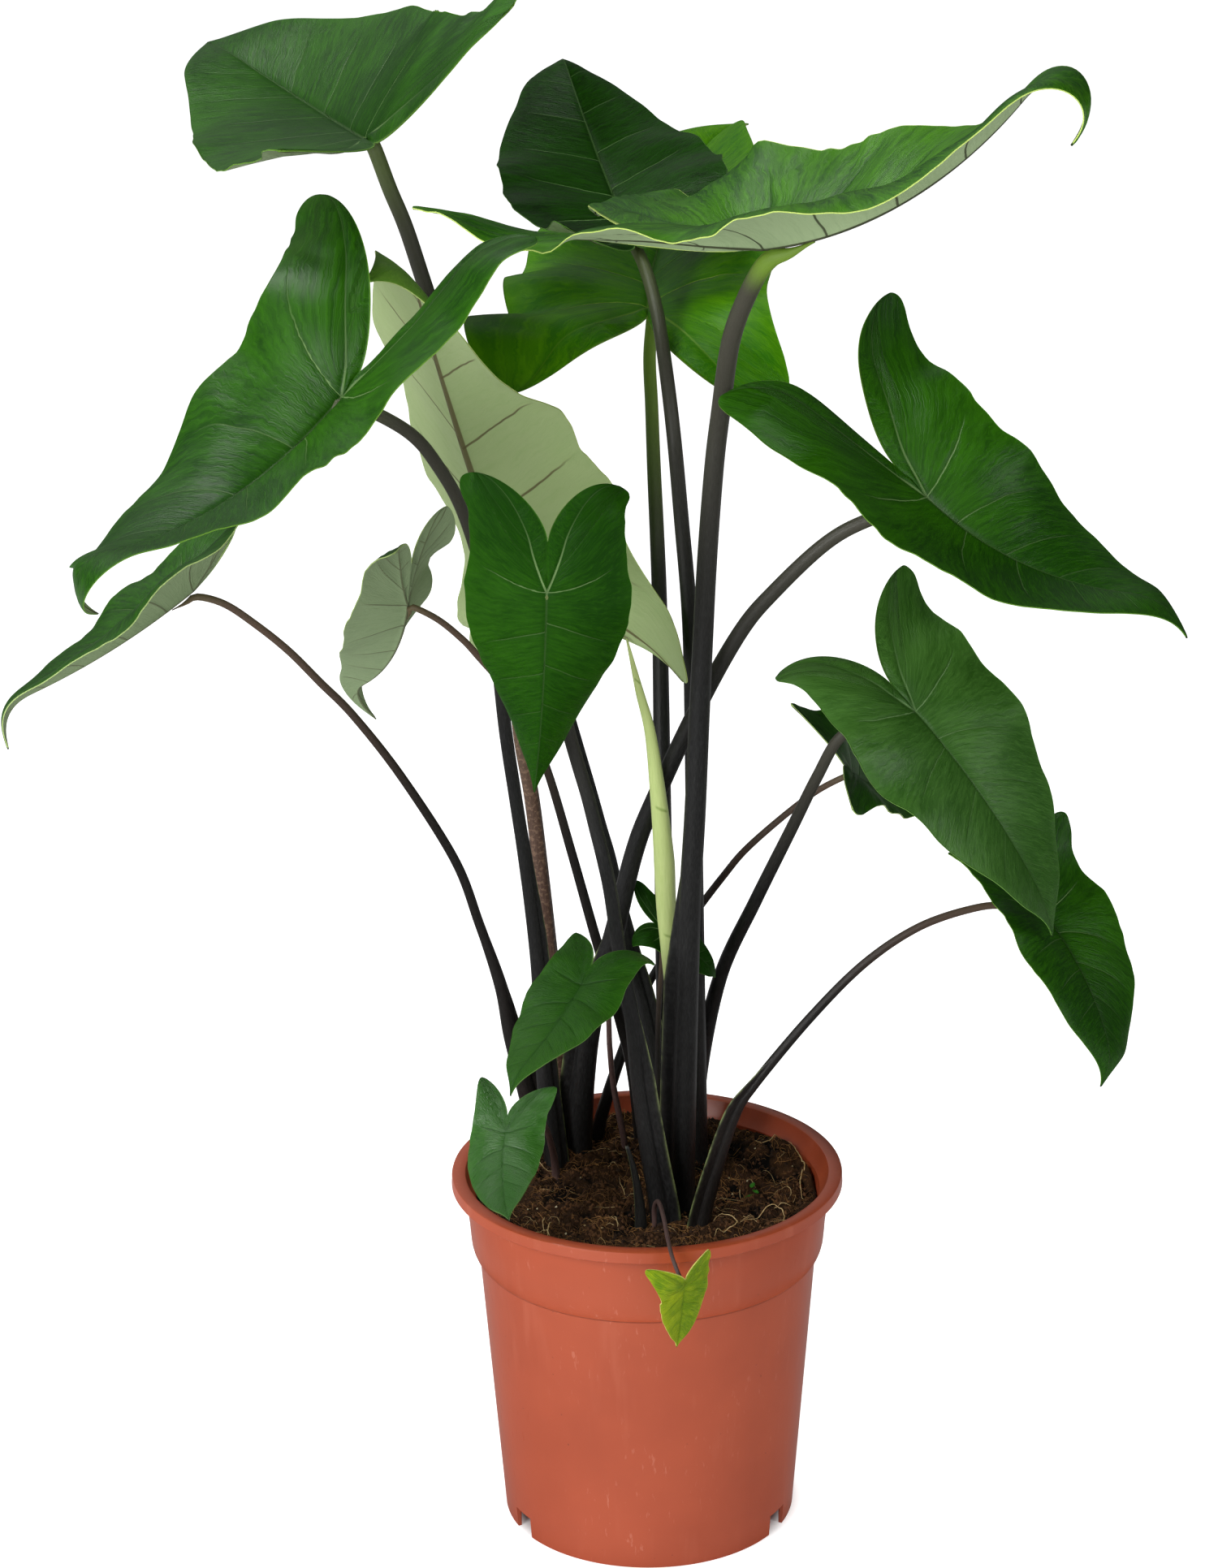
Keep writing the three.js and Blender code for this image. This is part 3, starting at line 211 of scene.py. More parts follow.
class Nodes:
    """The nodes of a material or of the world, and short ways to add to them."""

    def __init__(self, tree):
        self.tree = tree

    def node(self, kind, settings=None, sockets=None, out=0):
        """Adds a node, applies its settings, then fills its sockets with values or links."""
        made = self.tree.nodes.new(kind)
        for label, setting in (settings or {}).items():
            setattr(made, label, setting)
        for label, given in (sockets or {}).items():
            if isinstance(given, Value):
                self.tree.links.new(given.socket, made.inputs[label])
            else:
                made.inputs[label].default_value = given
        return Value(self, made.outputs[out])

    def mark(self, label):
        """The named value that the mesh carries at each point."""
        return self.node("ShaderNodeAttribute", {"attribute_name": label}, out="Fac")

    def place(self, scale=(1, 1, 1)):
        """Object coordinates in metres, stretched by scale."""
        coordinates = self.node("ShaderNodeTexCoord", out="Object")
        return self.node("ShaderNodeMapping", {}, {"Vector": coordinates, "Scale": scale})

    def join(self, x=0.0, y=0.0, z=0.0):
        """Three values as one vector."""
        return self.node("ShaderNodeCombineXYZ", {}, {0: x, 1: y, 2: z})

    def noise(self, vector, scale, detail=3.0, roughness=0.5):
        """Cloudy noise from 0 to 1."""
        return self.node("ShaderNodeTexNoise", {}, {"Vector": vector, "Scale": scale,
                                                    "Detail": detail, "Roughness": roughness})

    def ramp(self, value, low, high, first=0.0, last=1.0):
        """first below low, last above high, and an S-shaped blend between."""
        return self.node("ShaderNodeMapRange", {"interpolation_type": "SMOOTHSTEP"},
                         {0: value, 1: low, 2: high, 3: first, 4: last})

    def absolute(self, value):
        """value without its sign."""
        return self.node("ShaderNodeMath", {"operation": "ABSOLUTE"}, {0: value})

    def fraction(self, value):
        """What is left of value above the next lower whole number."""
        return self.node("ShaderNodeMath", {"operation": "FRACT"}, {0: value})

    def mix(self, first, last, share):
        """The first colour where share is 0, the last where it is 1."""
        return self.node("ShaderNodeMix", {"data_type": "RGBA"}, {0: share, 6: first, 7: last}, 2)


class Finish(Nodes):
    """A material and the patterns that drive it. fixed are the inputs that stay the same all over
    the surface."""

    def __init__(self, name, **fixed):
        self.material = bpy.data.materials.new(name)
        self.material.use_nodes = True
        super().__init__(self.material.node_tree)
        self.shader = self.tree.nodes["Principled BSDF"]
        for label, number in fixed.items():
            self.shader.inputs[label.replace("_", " ")].default_value = number

    def done(self, colour, roughness=None, height=None, depth=1.0):
        """Links colour, roughness and a bump of that height, depth in mm, to the shader."""
        links = self.tree.links
        links.new(colour.socket, self.shader.inputs["Base Color"])
        if roughness is not None:
            links.new(roughness.socket, self.shader.inputs["Roughness"])
        if height is not None:
            bump = self.node("ShaderNodeBump", {}, {"Height": height, "Distance": depth * MM})
            links.new(bump.socket, self.shader.inputs["Normal"])
        return self.material


# %% [markdown]
# ## Studio
# A leaf is satin, so what it mirrors matters as much as what lights it. In the picture the leaves
# that lie level are pale from a bright wall behind them on the left, some lobes shine from a lamp
# high up on the left, and the leaves that face the viewer stay deep green, so nothing bright
# stands low in front or lies under them. So there is a low main lamp at the front left, a high
# one at the left, a weak one at the right, and a world that is bright only in two bands: a wall,
# brightest at the left, and below the horizon a pale table some way off, which shows in the sides
# of the pot. The floor is white but isn't mirrored.

# %% World and lights
bpy.context.scene.view_settings.view_transform = "Standard"
WALL, TABLE, ROOM = 0.5, 0.4, 0.05
world = bpy.data.worlds.new("studio")
bpy.context.scene.world = world
world.use_nodes = True
room = Nodes(world.node_tree)
background = room.tree.nodes["Background"]
direction = room.node("ShaderNodeTexCoord", out="Generated")
across, height = (room.node("ShaderNodeSeparateXYZ", {}, {0: direction}, axis) for axis in "XZ")
wall = room.ramp(height, 0.1, 0.42, 0.12, 1) * room.ramp(height, 0.48, 0.7, WALL, ROOM)
wall = wall * room.ramp(across, -0.3, 0.5, 1, 0.25)
table = room.ramp(height, -0.6, -0.4, 0, 1) * room.ramp(height, -0.2, -0.05, TABLE, 0)
room.tree.links.new((wall + table).socket, background.inputs["Strength"])
background.inputs["Color"].default_value = (1, 1, 1, 1)


def softbox(name, place, width, watts, aim=(0.0, 0.0, 0.4)):
    """A square area light at place, in metres, turned towards aim."""
    lamp = bpy.data.lights.new(name, "AREA")
    lamp.size, lamp.energy = width, watts
    back = unit(np.array(place, float) - np.array(aim))
    side = unit(np.cross([0, 0, 1], back))
    put(name, lamp).matrix_world = pose(side, np.cross(back, side), back, place)


softbox("key_light", (-1.06, -1.52, 1.15), 1.0, 29)
softbox("left_light", (-0.82, 0.27, 2.2), 0.9, 20)
softbox("right_light", (1.38, -1.16, 1.7), 0.8, 10)
print("lamps:", *(lamp.name for lamp in bpy.data.lights))

# %% [markdown]
# ## Leaf finish
# The upper side is glossy and deep green. The veins are fine pale grooves, and thin wavy lines run
# beside them out to the margin. The underside is matt grey-green with raised brown veins, and the
# edge itself is a pale line. One way is to paint an image. Here the mesh carries the vein count,
# the distance to the midrib and the distance to the margin at each point, and the shader turns
# them into lines, so that the veins stay sharp at any size and follow each leaf's own shape.

# %% Leaf finish
def leaf_finish(name, deep, fresh, vein, back, back_vein, edge, show=0.28, stout=1.0, patch=11.0,
                gloss=0.2, rough=0.3):
    """Upper side: deep and fresh green in patches, with pale veins that show more or less.
    Underside: back, with a more or less stout midrib. The marks are vein (whole numbers on the
    side veins) and gap (mm from one to the next), rib (mm from the midrib or lobe rib, below 0 on
    its inner side), reach (0 there, 1 at the margin, -1 at the notch), away (0 at the stalk, 1 at
    the tip, 0.8 at the lobes' ends), under (1 below, 0 above) and edge (1 on the margin)."""
    f = Finish(name, Specular_IOR_Level=gloss)
    count, gap, away = f.mark("vein"), f.mark("gap"), f.mark("away")
    rib, reach = f.absolute(f.mark("rib")), f.absolute(f.mark("reach"))
    under, rim = f.mark("under"), f.ramp(f.mark("edge"), 0.5, 0.95)
    cloud, speck = f.noise(f.place(), patch, 3), f.noise(f.place(), 420, 2)
    wander, crinkle = f.noise(f.place(), 45, 2), f.noise(f.place(), 230, 2)
    lines = count * 15 + wander * 2.4 + crinkle * 1.1
    coarse = f.noise(f.join(lines, reach * 3.0, under), 1.0, 3, 0.6)
    fine = f.noise(f.join(lines * 2.9, reach * 10, under * 7), 1.0, 2, 0.5)

    count = count + (wander - 0.5) * 0.1
    off = f.absolute(f.fraction(count + 0.5) - 0.5) * gap
    chief = f.ramp(f.absolute(count - 4.2), 0.4, 4.5, 1, 0.25) * f.ramp(count, 3.0, 3.6, 0.3, 1)
    fade = f.ramp(reach, 0.45, 0.85, 1, 0) * chief
    side_vein = f.ramp(off, 0.1, 0.5, 1, 0) * fade
    groove = f.ramp(off, 0.0, 2.6, 1, 0) * fade
    midrib = f.ramp(rib / (1.05 - 0.85 * away), 0.4, 1.0, 1, 0)
    midrib_valley_shade = f.ramp(rib / (5.0 - 3.5 * away), 0.2, 1.0, 1, 0)
    stout_rib = f.ramp(rib / (stout * (1.3 - 0.75 * away)), 0.75, 1.0, 1, 0)

    top = f.mix(deep, fresh, f.ramp(cloud, 0.3, 0.7) * 0.6 + (coarse - 0.5) * 1.8)
    top = f.mix(top, fresh, f.ramp(reach, 0.8, 1.0) * 0.3)
    top = f.mix(top, fresh, f.ramp(fine, 0.5, 0.7) * 0.4)
    # Painted shade: the side veins' grooves and the valley along the midrib are mixed towards the
    # deep green.
    top = f.mix(top, deep, groove * 0.35 + midrib_valley_shade * 0.4)
    top = f.mix(top, vein, side_vein * show * f.ramp(away, 0.04, 0.2, 2.2, 0.8))
    behind = f.ramp(count, 3.7, 4.3, 1, 0)
    pale = behind * f.ramp(away, 0.0, 0.55, 0.6, 0.05) + 0.5 * show
    top = f.mix(top, f.mix(deep, vein, pale), midrib * 0.75)
    low = f.mix(back, f.mix(back, deep, 0.3), f.ramp(cloud, 0.4, 0.75) * 0.35)
    low = f.mix(low, deep, f.ramp(coarse, 0.45, 0.75) * 0.1)
    low_vein = f.ramp(off, 0.25, 0.7, 1, 0) * f.ramp(reach, 0.6, 0.95, 1, 0)
    low = f.mix(low, back_vein, low_vein * 0.9)
    low = f.mix(low, back_vein, stout_rib * 0.95)
    colour = f.mix(f.mix(top, low, under), edge, rim)
    roughness = rough + 0.14 * coarse + 0.06 * speck + under * 0.22
    side = under * 2 - 1
    height = side * (side_vein + groove) * 0.5 + coarse * 0.55 + fine * 0.35 + speck * 0.03
    return f.done(colour, roughness, height, 0.6)


DARK = (rgb(18, 58, 1), rgb(44, 98, 2), rgb(124, 156, 96))
GREEN_BACK = (rgb(126, 144, 104), rgb(70, 74, 46))
DARK_LEAF = leaf_finish("deep_green_leaf", *DARK, *GREEN_BACK, rgb(96, 140, 44))
SHADE_LEAF = leaf_finish("shaded_green_leaf", rgb(12, 40, 2), rgb(28, 74, 5), rgb(96, 134, 74),
                         rgb(118, 140, 96), rgb(84, 80, 52), rgb(80, 120, 50), 0.75, gloss=0.07)
FRONT_LEAF = leaf_finish("satin_green_leaf", rgb(16, 56, 1), rgb(34, 82, 1), rgb(140, 170, 112),
                         *GREEN_BACK, rgb(70, 110, 40), 0.15, gloss=0.09)
# Painted sheen: this leaf's greens are lighter and greyer to stand in for the pale sheen it
# mirrors.
SHEEN_GREY_LEAF = leaf_finish("green_leaf_painted_sheen", rgb(38, 78, 17), rgb(68, 112, 42), rgb(112, 146, 92),
                        *GREEN_BACK, rgb(96, 140, 60), gloss=0.3)
SMALL_LEAF = leaf_finish("small_green_leaf", rgb(26, 70, 6), rgb(48, 98, 14), rgb(30, 70, 14),
                         *GREEN_BACK, rgb(84, 124, 50), 0.3, gloss=0.25)
SILVER_LEAF = leaf_finish("glossy_small_leaf", rgb(38, 86, 20), rgb(62, 112, 38), rgb(32, 76, 20),
                          *GREEN_BACK, rgb(90, 130, 60), 0.25, gloss=0.55, rough=0.2)
# Painted light: this leaf's greens are lighter and yellower to stand in for light shining through
# it, and lifted against the shade of the leaf above it.
BACKLIT_LEAF = leaf_finish("backlit_green_leaf_painted_light", rgb(44, 106, 2), rgb(90, 152, 3), rgb(134, 170, 60),
                          rgb(140, 165, 100), rgb(96, 98, 52), rgb(110, 150, 50), 0.5, gloss=0.1)
GREY_LEAF = leaf_finish("grey_backed_leaf", *DARK, rgb(118, 136, 100), rgb(94, 102, 74),
                        rgb(168, 192, 120), stout=0.8)
# The pale back is the leaf's own; the light greens of its upper side are painted light, since that
# side faces away from the lamps.
PALE_BACKED_LIT_LEAF = leaf_finish("pale_backed_leaf_painted_light", rgb(84, 134, 34), rgb(116, 160, 60),
                        rgb(110, 150, 70), rgb(154, 172, 120), rgb(98, 92, 60),
                        rgb(176, 196, 116), stout=1.9)
LIP_LEAF = leaf_finish("pale_edged_leaf", rgb(20, 68, 1), rgb(70, 130, 8), rgb(32, 78, 10),
                       rgb(136, 154, 116), rgb(58, 62, 42), rgb(196, 220, 116), 0.4, gloss=0.16)
YELLOW_LEAF = leaf_finish("young_yellow_leaf", rgb(84, 120, 2), rgb(156, 172, 8),
                          rgb(118, 140, 10), rgb(160, 180, 80), rgb(128, 132, 50),
                          rgb(206, 206, 104), 0.5, 1.0, 75.0)
print("leaf finishes:", DARK_LEAF.name, BACKLIT_LEAF.name, YELLOW_LEAF.name)

# %% [markdown]
# ## Leaf shapes
# Each blade is an arrowhead: a long taper ahead of the stalk and two lobes behind it. The table
# says where each blade joins its stalk, which way it points, how long and wide it is, and how its
# midrib and both halves bend. The same numbers shape the plain model.

# %% Leaf table
Half = namedtuple("Half", "lobe spread fold lobe_fold curl lobe_curl droop phase")
Leaf = namedtuple("Leaf", "at heading tilt roll length half_width taper notch arch tip_bend "
                          "side_bend twist tip_fold wave waves left right")
LEAVES = {
    "top_left": Leaf(
        (-141.3, 99.9, 737.7), 101.5, -5.3, -49.3, 234.5, 79, 1.94,
        32.4, -45.6, 39.2, 3.2, 30.2, 9.9, 2.61, 3.4,
        Half(128.1, 58.7, 43.8, 56.3, -9.5, -5.7, -0.2, 102),
        Half(140.6, 91, 13.2, 14.2, -10.9, -16.1, 4.4, 57)),
    "top_right": Leaf(
        (59.3, -73.5, 713), -37.1, 11.4, 3.4, 217.3, 63.9, 2.02,
        13, -53.6, 187.6, 20, -2.9, 4, 4.35, 3.85,
        Half(164.3, 87.6, 39.9, 10.7, -4.8, -23.8, -17.3, -30),
        Half(163.9, 71.7, 48.8, 16.7, -58.3, -6.6, -23.9, 26)),
    "left_front": Leaf(
        (-146.7, -62.6, 639.5), -160.1, -46.7, -26, 200.1, 65.6, 1.96,
        11.1, -74.3, 174.2, 12.3, 31.9, -6.4, 3.52, 4.4,
        Half(102.2, 91, 30.8, 60.3, -3.6, -32.5, 13, -7),
        Half(70, 106, 37.9, 44.3, -45.3, -51.1, 36.1, 128)),
    "top_centre": Leaf(
        (-6.9, 164.9, 681), 102, 17.1, -11.1, 197.8, 61.2, 1.83,
        27.2, -18.7, 103.9, -1.3, 10.6, -31.7, 2.56, 4.38,
        Half(59.6, 46.8, 20.4, 33.9, -2.6, 2.2, -20.7, 84),
        Half(58, 47.5, 17.9, 25, -8.3, 0, -20, 9)),
    "top_back": Leaf(
        (5.5, 161.6, 634.2), 89.2, 7.7, -29.9, 249.7, 76.7, 1.95,
        12.6, -5.9, 29.6, -31.6, 11.6, 22.9, 4.94, 4.51,
        Half(79.9, 110.4, 45.7, 64.7, -35.3, -10.1, 43.6, -65),
        Half(136.1, 62.4, 8.5, -25.8, -20.2, -6.9, 12.3, 116)),
    "centre_back": Leaf(
        (-72, 68.8, 513.1), -169.5, 72, 41, 232.7, 65.5, 2.05,
        4.7, 22.8, 68.9, 32.3, -22.9, -12.9, 4.65, 3.82,
        Half(69.8, 89.6, 47.8, 26.7, -5.8, -52.7, -28.8, 43),
        Half(97.9, 104.8, 25.1, 22.6, 2.3, -5.1, -25.7, 21)),
    "centre_front": Leaf(
        (-47.5, -95, 548.8), -78.3, -99.9, 15.9, 127.3, 42.2, 1.79,
        27.2, 24.7, -11.5, -5.8, -0.3, -43.6, 1.41, 3.9,
        Half(63.9, 37.2, 2.5, -4.6, -41.3, -48.9, 49.3, -58),
        Half(59.2, 35.9, 0.2, 18.3, -25, -21, 30.7, 131)),
    "right_upper": Leaf(
        (143.3, -19.5, 574.5), -29.8, -37.8, 7.6, 155.8, 54.9, 1.86,
        21.3, -50.5, 79.2, 13, -12.7, -6.3, 1.93, 4.16,
        Half(102.6, 71.6, 49.4, -7.9, -27.2, 13.5, -30.7, 70),
        Half(99.3, 69.6, 4.2, 39.3, 2.2, -59.7, -5.9, 9)),
    "right_middle": Leaf(
        (138.4, -29.7, 464.7), -35.7, -39.4, 8.1, 138.3, 48.4, 1.85,
        17.9, 31, 15.4, 8.8, -4, 10, 2.64, 4.25,
        Half(70, 49.5, 32.3, 17.8, -18.8, -15.1, -12.6, 90),
        Half(68.2, 37.3, 0.6, 4.4, -24.4, -37.7, 40.2, -40)),
    "right_low": Leaf(
        (206.6, -29.9, 353.5), -55.8, -28, -16.9, 104.9, 37, 1.85,
        14.4, 25.2, 48.1, -13.8, -6, -8.4, 1.93, 3.31,
        Half(52.5, 37.3, 35.3, 39.7, -19.9, 2.5, -10.8, 37),
        Half(51.5, 28.3, 17, 10, -31.2, -20, 20, 18)),
    "right_back": Leaf(
        (110.3, 37, 409.7), 68, -31.7, 45.3, 90.9, 30.4, 1.9,
        12.5, -29.2, 7.1, -12.3, -3.8, 14, 0.99, 4.15,
        Half(48.2, 31.6, 31.5, 11, -8.2, -22.6, 6.7, 67),
        Half(42.9, 32.6, 17.3, 7.2, -16.3, -22.7, 21.6, 122)),
    "far_left": Leaf(
        (-230.3, 0.3, 524), -152.8, -32.3, 26.6, 131.7, 43.9, 1.91,
        2.4, -19.2, 83, -5.1, -1.6, 16.9, 2.28, 3.49,
        Half(72.8, 47.2, 45.5, 3.9, -66.1, -23.3, -51.3, -85),
        Half(44.3, 36.3, 45.6, 33.2, -24.6, -2.1, 4.6, -85)),
    "left_inner": Leaf(
        (-121.6, 19.9, 510), 104.9, -62.5, -40.7, 114.9, 32.3, 1.68,
        28.4, -49, 115.4, -9.8, 29.4, 58.1, 1.44, 3.28,
        Half(60.6, 29.1, 29.8, 14.6, -2.2, -14.1, 39.8, -22),
        Half(52.9, 23.6, 25.9, -7, -20.4, -52.1, -25.1, 124)),
    "small_centre": Leaf(
        (-33.5, -62, 329.9), -115.2, -25.1, 12.9, 78.4, 25.3, 1.89,
        13, -7, 38.8, -13.2, 4.2, 10.1, 1.01, 4.34,
        Half(38.5, 24.6, 2.5, 1.2, -30.5, -41.4, 37.6, -56),
        Half(36.6, 20.5, 22.1, 16.5, -16.2, -7.8, 20.5, 132)),
    "small_left": Leaf(
        (-74.3, -48, 241.5), -97.3, -37.3, 4.2, 60.5, 20.5, 1.88,
        9.5, -24.5, 4.4, 20.6, 5.9, 11.8, 0.65, 4.17,
        Half(28.9, 22.5, 4.5, 8.2, -23.9, -14.5, 22.7, 51),
        Half(29.8, 16.4, 1.9, 23.8, -33, -6.8, 17.8, 91)),
    "smallest": Leaf(
        (17.5, -124.2, 189.4), -86.9, -127, -26.3, 47.6, 15.6, 1.89,
        6, -25.7, 8.2, -20.7, -2.1, 15.2, 0.45, 4.08,
        Half(23.5, 13.9, 6.5, 10.2, -29.9, -23.1, 13.9, 22),
        Half(22.6, 18.6, 18.6, 2.8, -16.3, -35.9, 25, 43)),
    "small_back": Leaf(
        (10.5, 20.1, 327.8), 8.7, -38.1, 56.5, 44.5, 13.7, 1.87,
        6.5, 15.7, 35.3, -8, -19.1, 2.3, 0.46, 3.96,
        Half(26.4, 14.7, 7, 1.8, -32.4, -3, 18.3, -13),
        Half(17.2, 15.6, 11.8, -3.5, 3.3, -49.1, 57, 96)),
}
print(len(LEAVES), "leaves")

# %% [markdown]
# ## Bent sheet
# A leaf is flat when it is cut out and bent when it grows, so the outline and the bending are
# worked out apart. u runs along the midrib from the stalk to the tip, and is negative in the
# lobes. v runs outwards from it. First come the edges of a half blade as functions of u. Then a
# point (u, v) is carried into space: along the bent midrib, out along the folded and curled half,
# and up or down with the wave of the margin.

# %% Leaf surface
def outer_edge(leaf, half, u):
    """Half width at u: an arched taper ahead, (1 - x^taper), drawn out at the tip, and a
    round-ended lobe behind."""
    x, y = np.clip(u / leaf.length, 0, 1), np.clip(-u / half.lobe, 0, 1)
    ahead = leaf.half_width * (1 + 0.22 * x) * (1 - x**leaf.taper)
    ahead = ahead * (1 - 0.5 * smooth((x - 0.8) / 0.2))
    waist = leaf.half_width * (1 - 0.1 * np.sin(np.pi * y))
    side = waist + (1.18 * half.spread - leaf.half_width) * y
    lobe = half.spread + (side - half.spread) * np.sqrt(np.clip(1 - y**5, 0, 1))
    return np.where(u >= 0, ahead, lobe)


def inner_edge(leaf, half, u):
    """The notch between the lobes: 0 at its bottom, widening to the lobe's tip."""
    z = np.clip((-u - leaf.notch) / (half.lobe - leaf.notch), 0, 1)
    return half.spread * (1 - np.clip(1 - z**1.7, 0, 1) ** 0.6)


def leaf_axes(leaf):
    """Directions along the midrib, to the left and up: heading turns them about the vertical, tilt
    lifts the tip, and roll turns them about the midrib."""
    h, t, r = (math.radians(a) for a in (leaf.heading, leaf.tilt, leaf.roll))
    along = np.array([math.cos(t) * math.cos(h), math.cos(t) * math.sin(h), math.sin(t)])
    level = np.array([-math.sin(h), math.cos(h), 0])
    left = math.cos(r) * level + math.sin(r) * np.cross(along, level)
    return along, left, np.cross(along, left)


def running_sum(slopes, length):
    """Adds up slopes over a length by the trapezium rule."""
    step = length / (len(slopes) - 1)
    return np.concatenate([[0], np.cumsum((slopes[1:] + slopes[:-1]) / 2 * step)])


SPINE_STEPS = 97


def leaf_point(leaf, sign, u, v):
    """The place of (u, v) on the left half (sign 1) or the right half (sign -1). The midrib is the
    running sum of its direction, and the half stands at its fold angle plus half its curl."""
    half = leaf.left if sign > 0 else leaf.right
    s = np.linspace(0, 1, SPINE_STEPS)
    pitch = -np.radians(leaf.arch * s + leaf.tip_bend * smooth((s - 0.72) / 0.28))
    yaw = np.radians(leaf.side_bend * s)
    start = leaf.notch / half.lobe
    droop = math.radians(half.droop) * np.clip((s - start) / (1 - start), 0, 1)
    x, y = np.clip(u / leaf.length, 0, 1), np.clip(-u / half.lobe, 0, 1)
    front = u >= 0
    at = lambda ahead, behind: np.where(front, np.interp(x, s, ahead), np.interp(y, s, behind))
    spine = np.stack([
        at(running_sum(np.cos(pitch) * np.cos(yaw), leaf.length),
           -running_sum(np.cos(droop), half.lobe)),
        at(running_sum(np.cos(pitch) * np.sin(yaw), leaf.length), 0 * s),
        at(running_sum(np.sin(pitch), leaf.length), -running_sum(np.sin(droop), half.lobe)),
    ], -1)
    p, q = at(pitch, droop), at(yaw, 0 * s)
    tangent = np.stack([np.cos(p) * np.cos(q), np.cos(p) * np.sin(q), np.sin(p)], -1)
    across = np.stack([-np.sin(q), np.cos(q), 0 * q], -1)
    normal = np.cross(tangent, across)
    turn = np.radians(leaf.twist * x)[..., None]
    outward = np.cos(turn) * across + np.sin(turn) * normal
    raised = np.cos(turn) * normal - np.sin(turn) * across
    xs, ys, share = smooth(x), smooth(y), v / leaf.half_width
    fold = half.fold * (1 - xs) * (1 - ys) + leaf.tip_fold * xs + half.lobe_fold * ys
    curl = half.curl * (1 - ys) + half.lobe_curl * ys
    bend = np.radians(fold + 0.5 * curl * share)
    count = leaf.waves * (u + half.lobe) / (leaf.length + half.lobe)
    ripple = np.sin(FULL_TURN * count + math.radians(half.phase))
    wave = leaf.wave * share**2 * ripple * np.clip(4 * (1 - x), 0, 1)
    local = spine + (sign * v * np.cos(bend))[..., None] * outward
    local = local + (v * np.sin(bend) + wave)[..., None] * raised
    return np.array(leaf.at) + local @ np.array(leaf_axes(leaf))


# %% [markdown]
# ## Blade
# The plain model's blade has a few hundred triangles. A large one has some thirty thousand here,
# so that the midrib can be a groove above and a ridge below, the blade can swell a little between
# its side veins, and the margin can ripple. One column of the grid follows the rib of the lobe, so
# that this rib is a clean line too. Upper and lower face are two grids on the same sheet, a little
# apart, and a narrow strip closes them along the margin.

# %% Vein marks
# LOBE_RIB is where a lobe's rib ends, as a share of the way from the notch to the margin. The
# marks and the relief are in proportion to BIG_LEAF, a length in mm.
LOBE_RIB, BIG_LEAF = 0.28, 200
LOBE_VEINS = ((1.26, 0.7), (0.98, 0.8), (0.70, 0.9), (0.44, 1.05), (0.18, 1.3))
MIDRIB_VEINS = (0.13, 0.32, 0.51, 0.68, 0.83)


def lobe_rib(leaf, half, u):
    """Where the rib of a lobe runs: from the stalk to LOBE_RIB of the way from the notch to the
    margin, rising like a sine over three quarters of the lobe."""
    inner, outer = inner_edge(leaf, half, u), outer_edge(leaf, half, u)
    rise = np.sin(np.pi / 2 * np.clip(-u / (0.75 * half.lobe), 0, 1))
    return np.where(u < 0, inner + LOBE_RIB * (outer - inner) * rise, 0)


def side_veins(leaf, half, sign, v):
    """Where each side vein is, as a value of u for every distance v from the midrib. Those of
    LOBE_VEINS, a share of the lobe and a lean each, leave the lobe's rib and fan back on both
    sides of it. The stoutest starts at the stalk and bends back. Those of MIDRIB_VEINS, a share of
    the blade each, lean forward, more and more towards the tip. Sorted from lobe to tip."""
    width = leaf.half_width
    lines = []
    for share, lean in LOBE_VEINS:
        start = -share * half.lobe
        rib = float(lobe_rib(leaf, half, np.array(max(start, -half.lobe))))
        lines.append(start - lean * np.abs(v - rib) - 0.15 * v**2 / width)
    lines.append(-0.16 * v - 0.26 * v**2 / width)
    for share in MIDRIB_VEINS:
        start = (share + 0.04 * (sign < 0)) * leaf.length
        lines.append(start + (0.1 + 1.2 * share) * v + 0.28 * v**2 / width)
    return np.array([lines[0] - 0.28 * half.lobe, *lines, lines[-1] + 0.3 * leaf.length])


def blade_marks(leaf, half, sign, u, v):
    """vein counts the side veins passed on the way from lobe to tip, with whole numbers on them
    and 4 on the one at the stalk, by sharing out the space between one vein and the next. gap is
    that space, and rib the way out from the midrib or lobe rib, both as they would be in mm on a
    leaf as long as BIG_LEAF. Veins are finer on a small leaf."""
    lines = side_veins(leaf, half, sign, v)
    spaces = np.maximum(np.diff(lines, axis=0), 0.5)
    passed = np.clip((u - lines[:-1]) / spaces, 0, 1).sum(0)
    space = np.minimum(passed.astype(int), len(spaces) - 1)
    gap = np.take_along_axis(spaces, space[None], 0)[0]
    rib = lobe_rib(leaf, half, u)
    outer, inner = outer_edge(leaf, half, u), inner_edge(leaf, half, u)
    room = np.where(v >= rib, outer - rib, rib - inner)
    reach = np.clip((v - rib) / np.maximum(room, 0.6), -1, 1)
    away = np.where(u > 0, u / leaf.length, -0.8 * u / half.lobe)
    stout = (leaf.length / BIG_LEAF) ** 0.6
    return passed - 2, gap * 0.75 / stout, (v - rib) / stout, reach, np.clip(away, 0, 1)


MARKS = ("vein", "gap", "rib", "reach", "away")
print("side veins on half a blade:", len(LOBE_VEINS) + 1 + len(MIDRIB_VEINS))

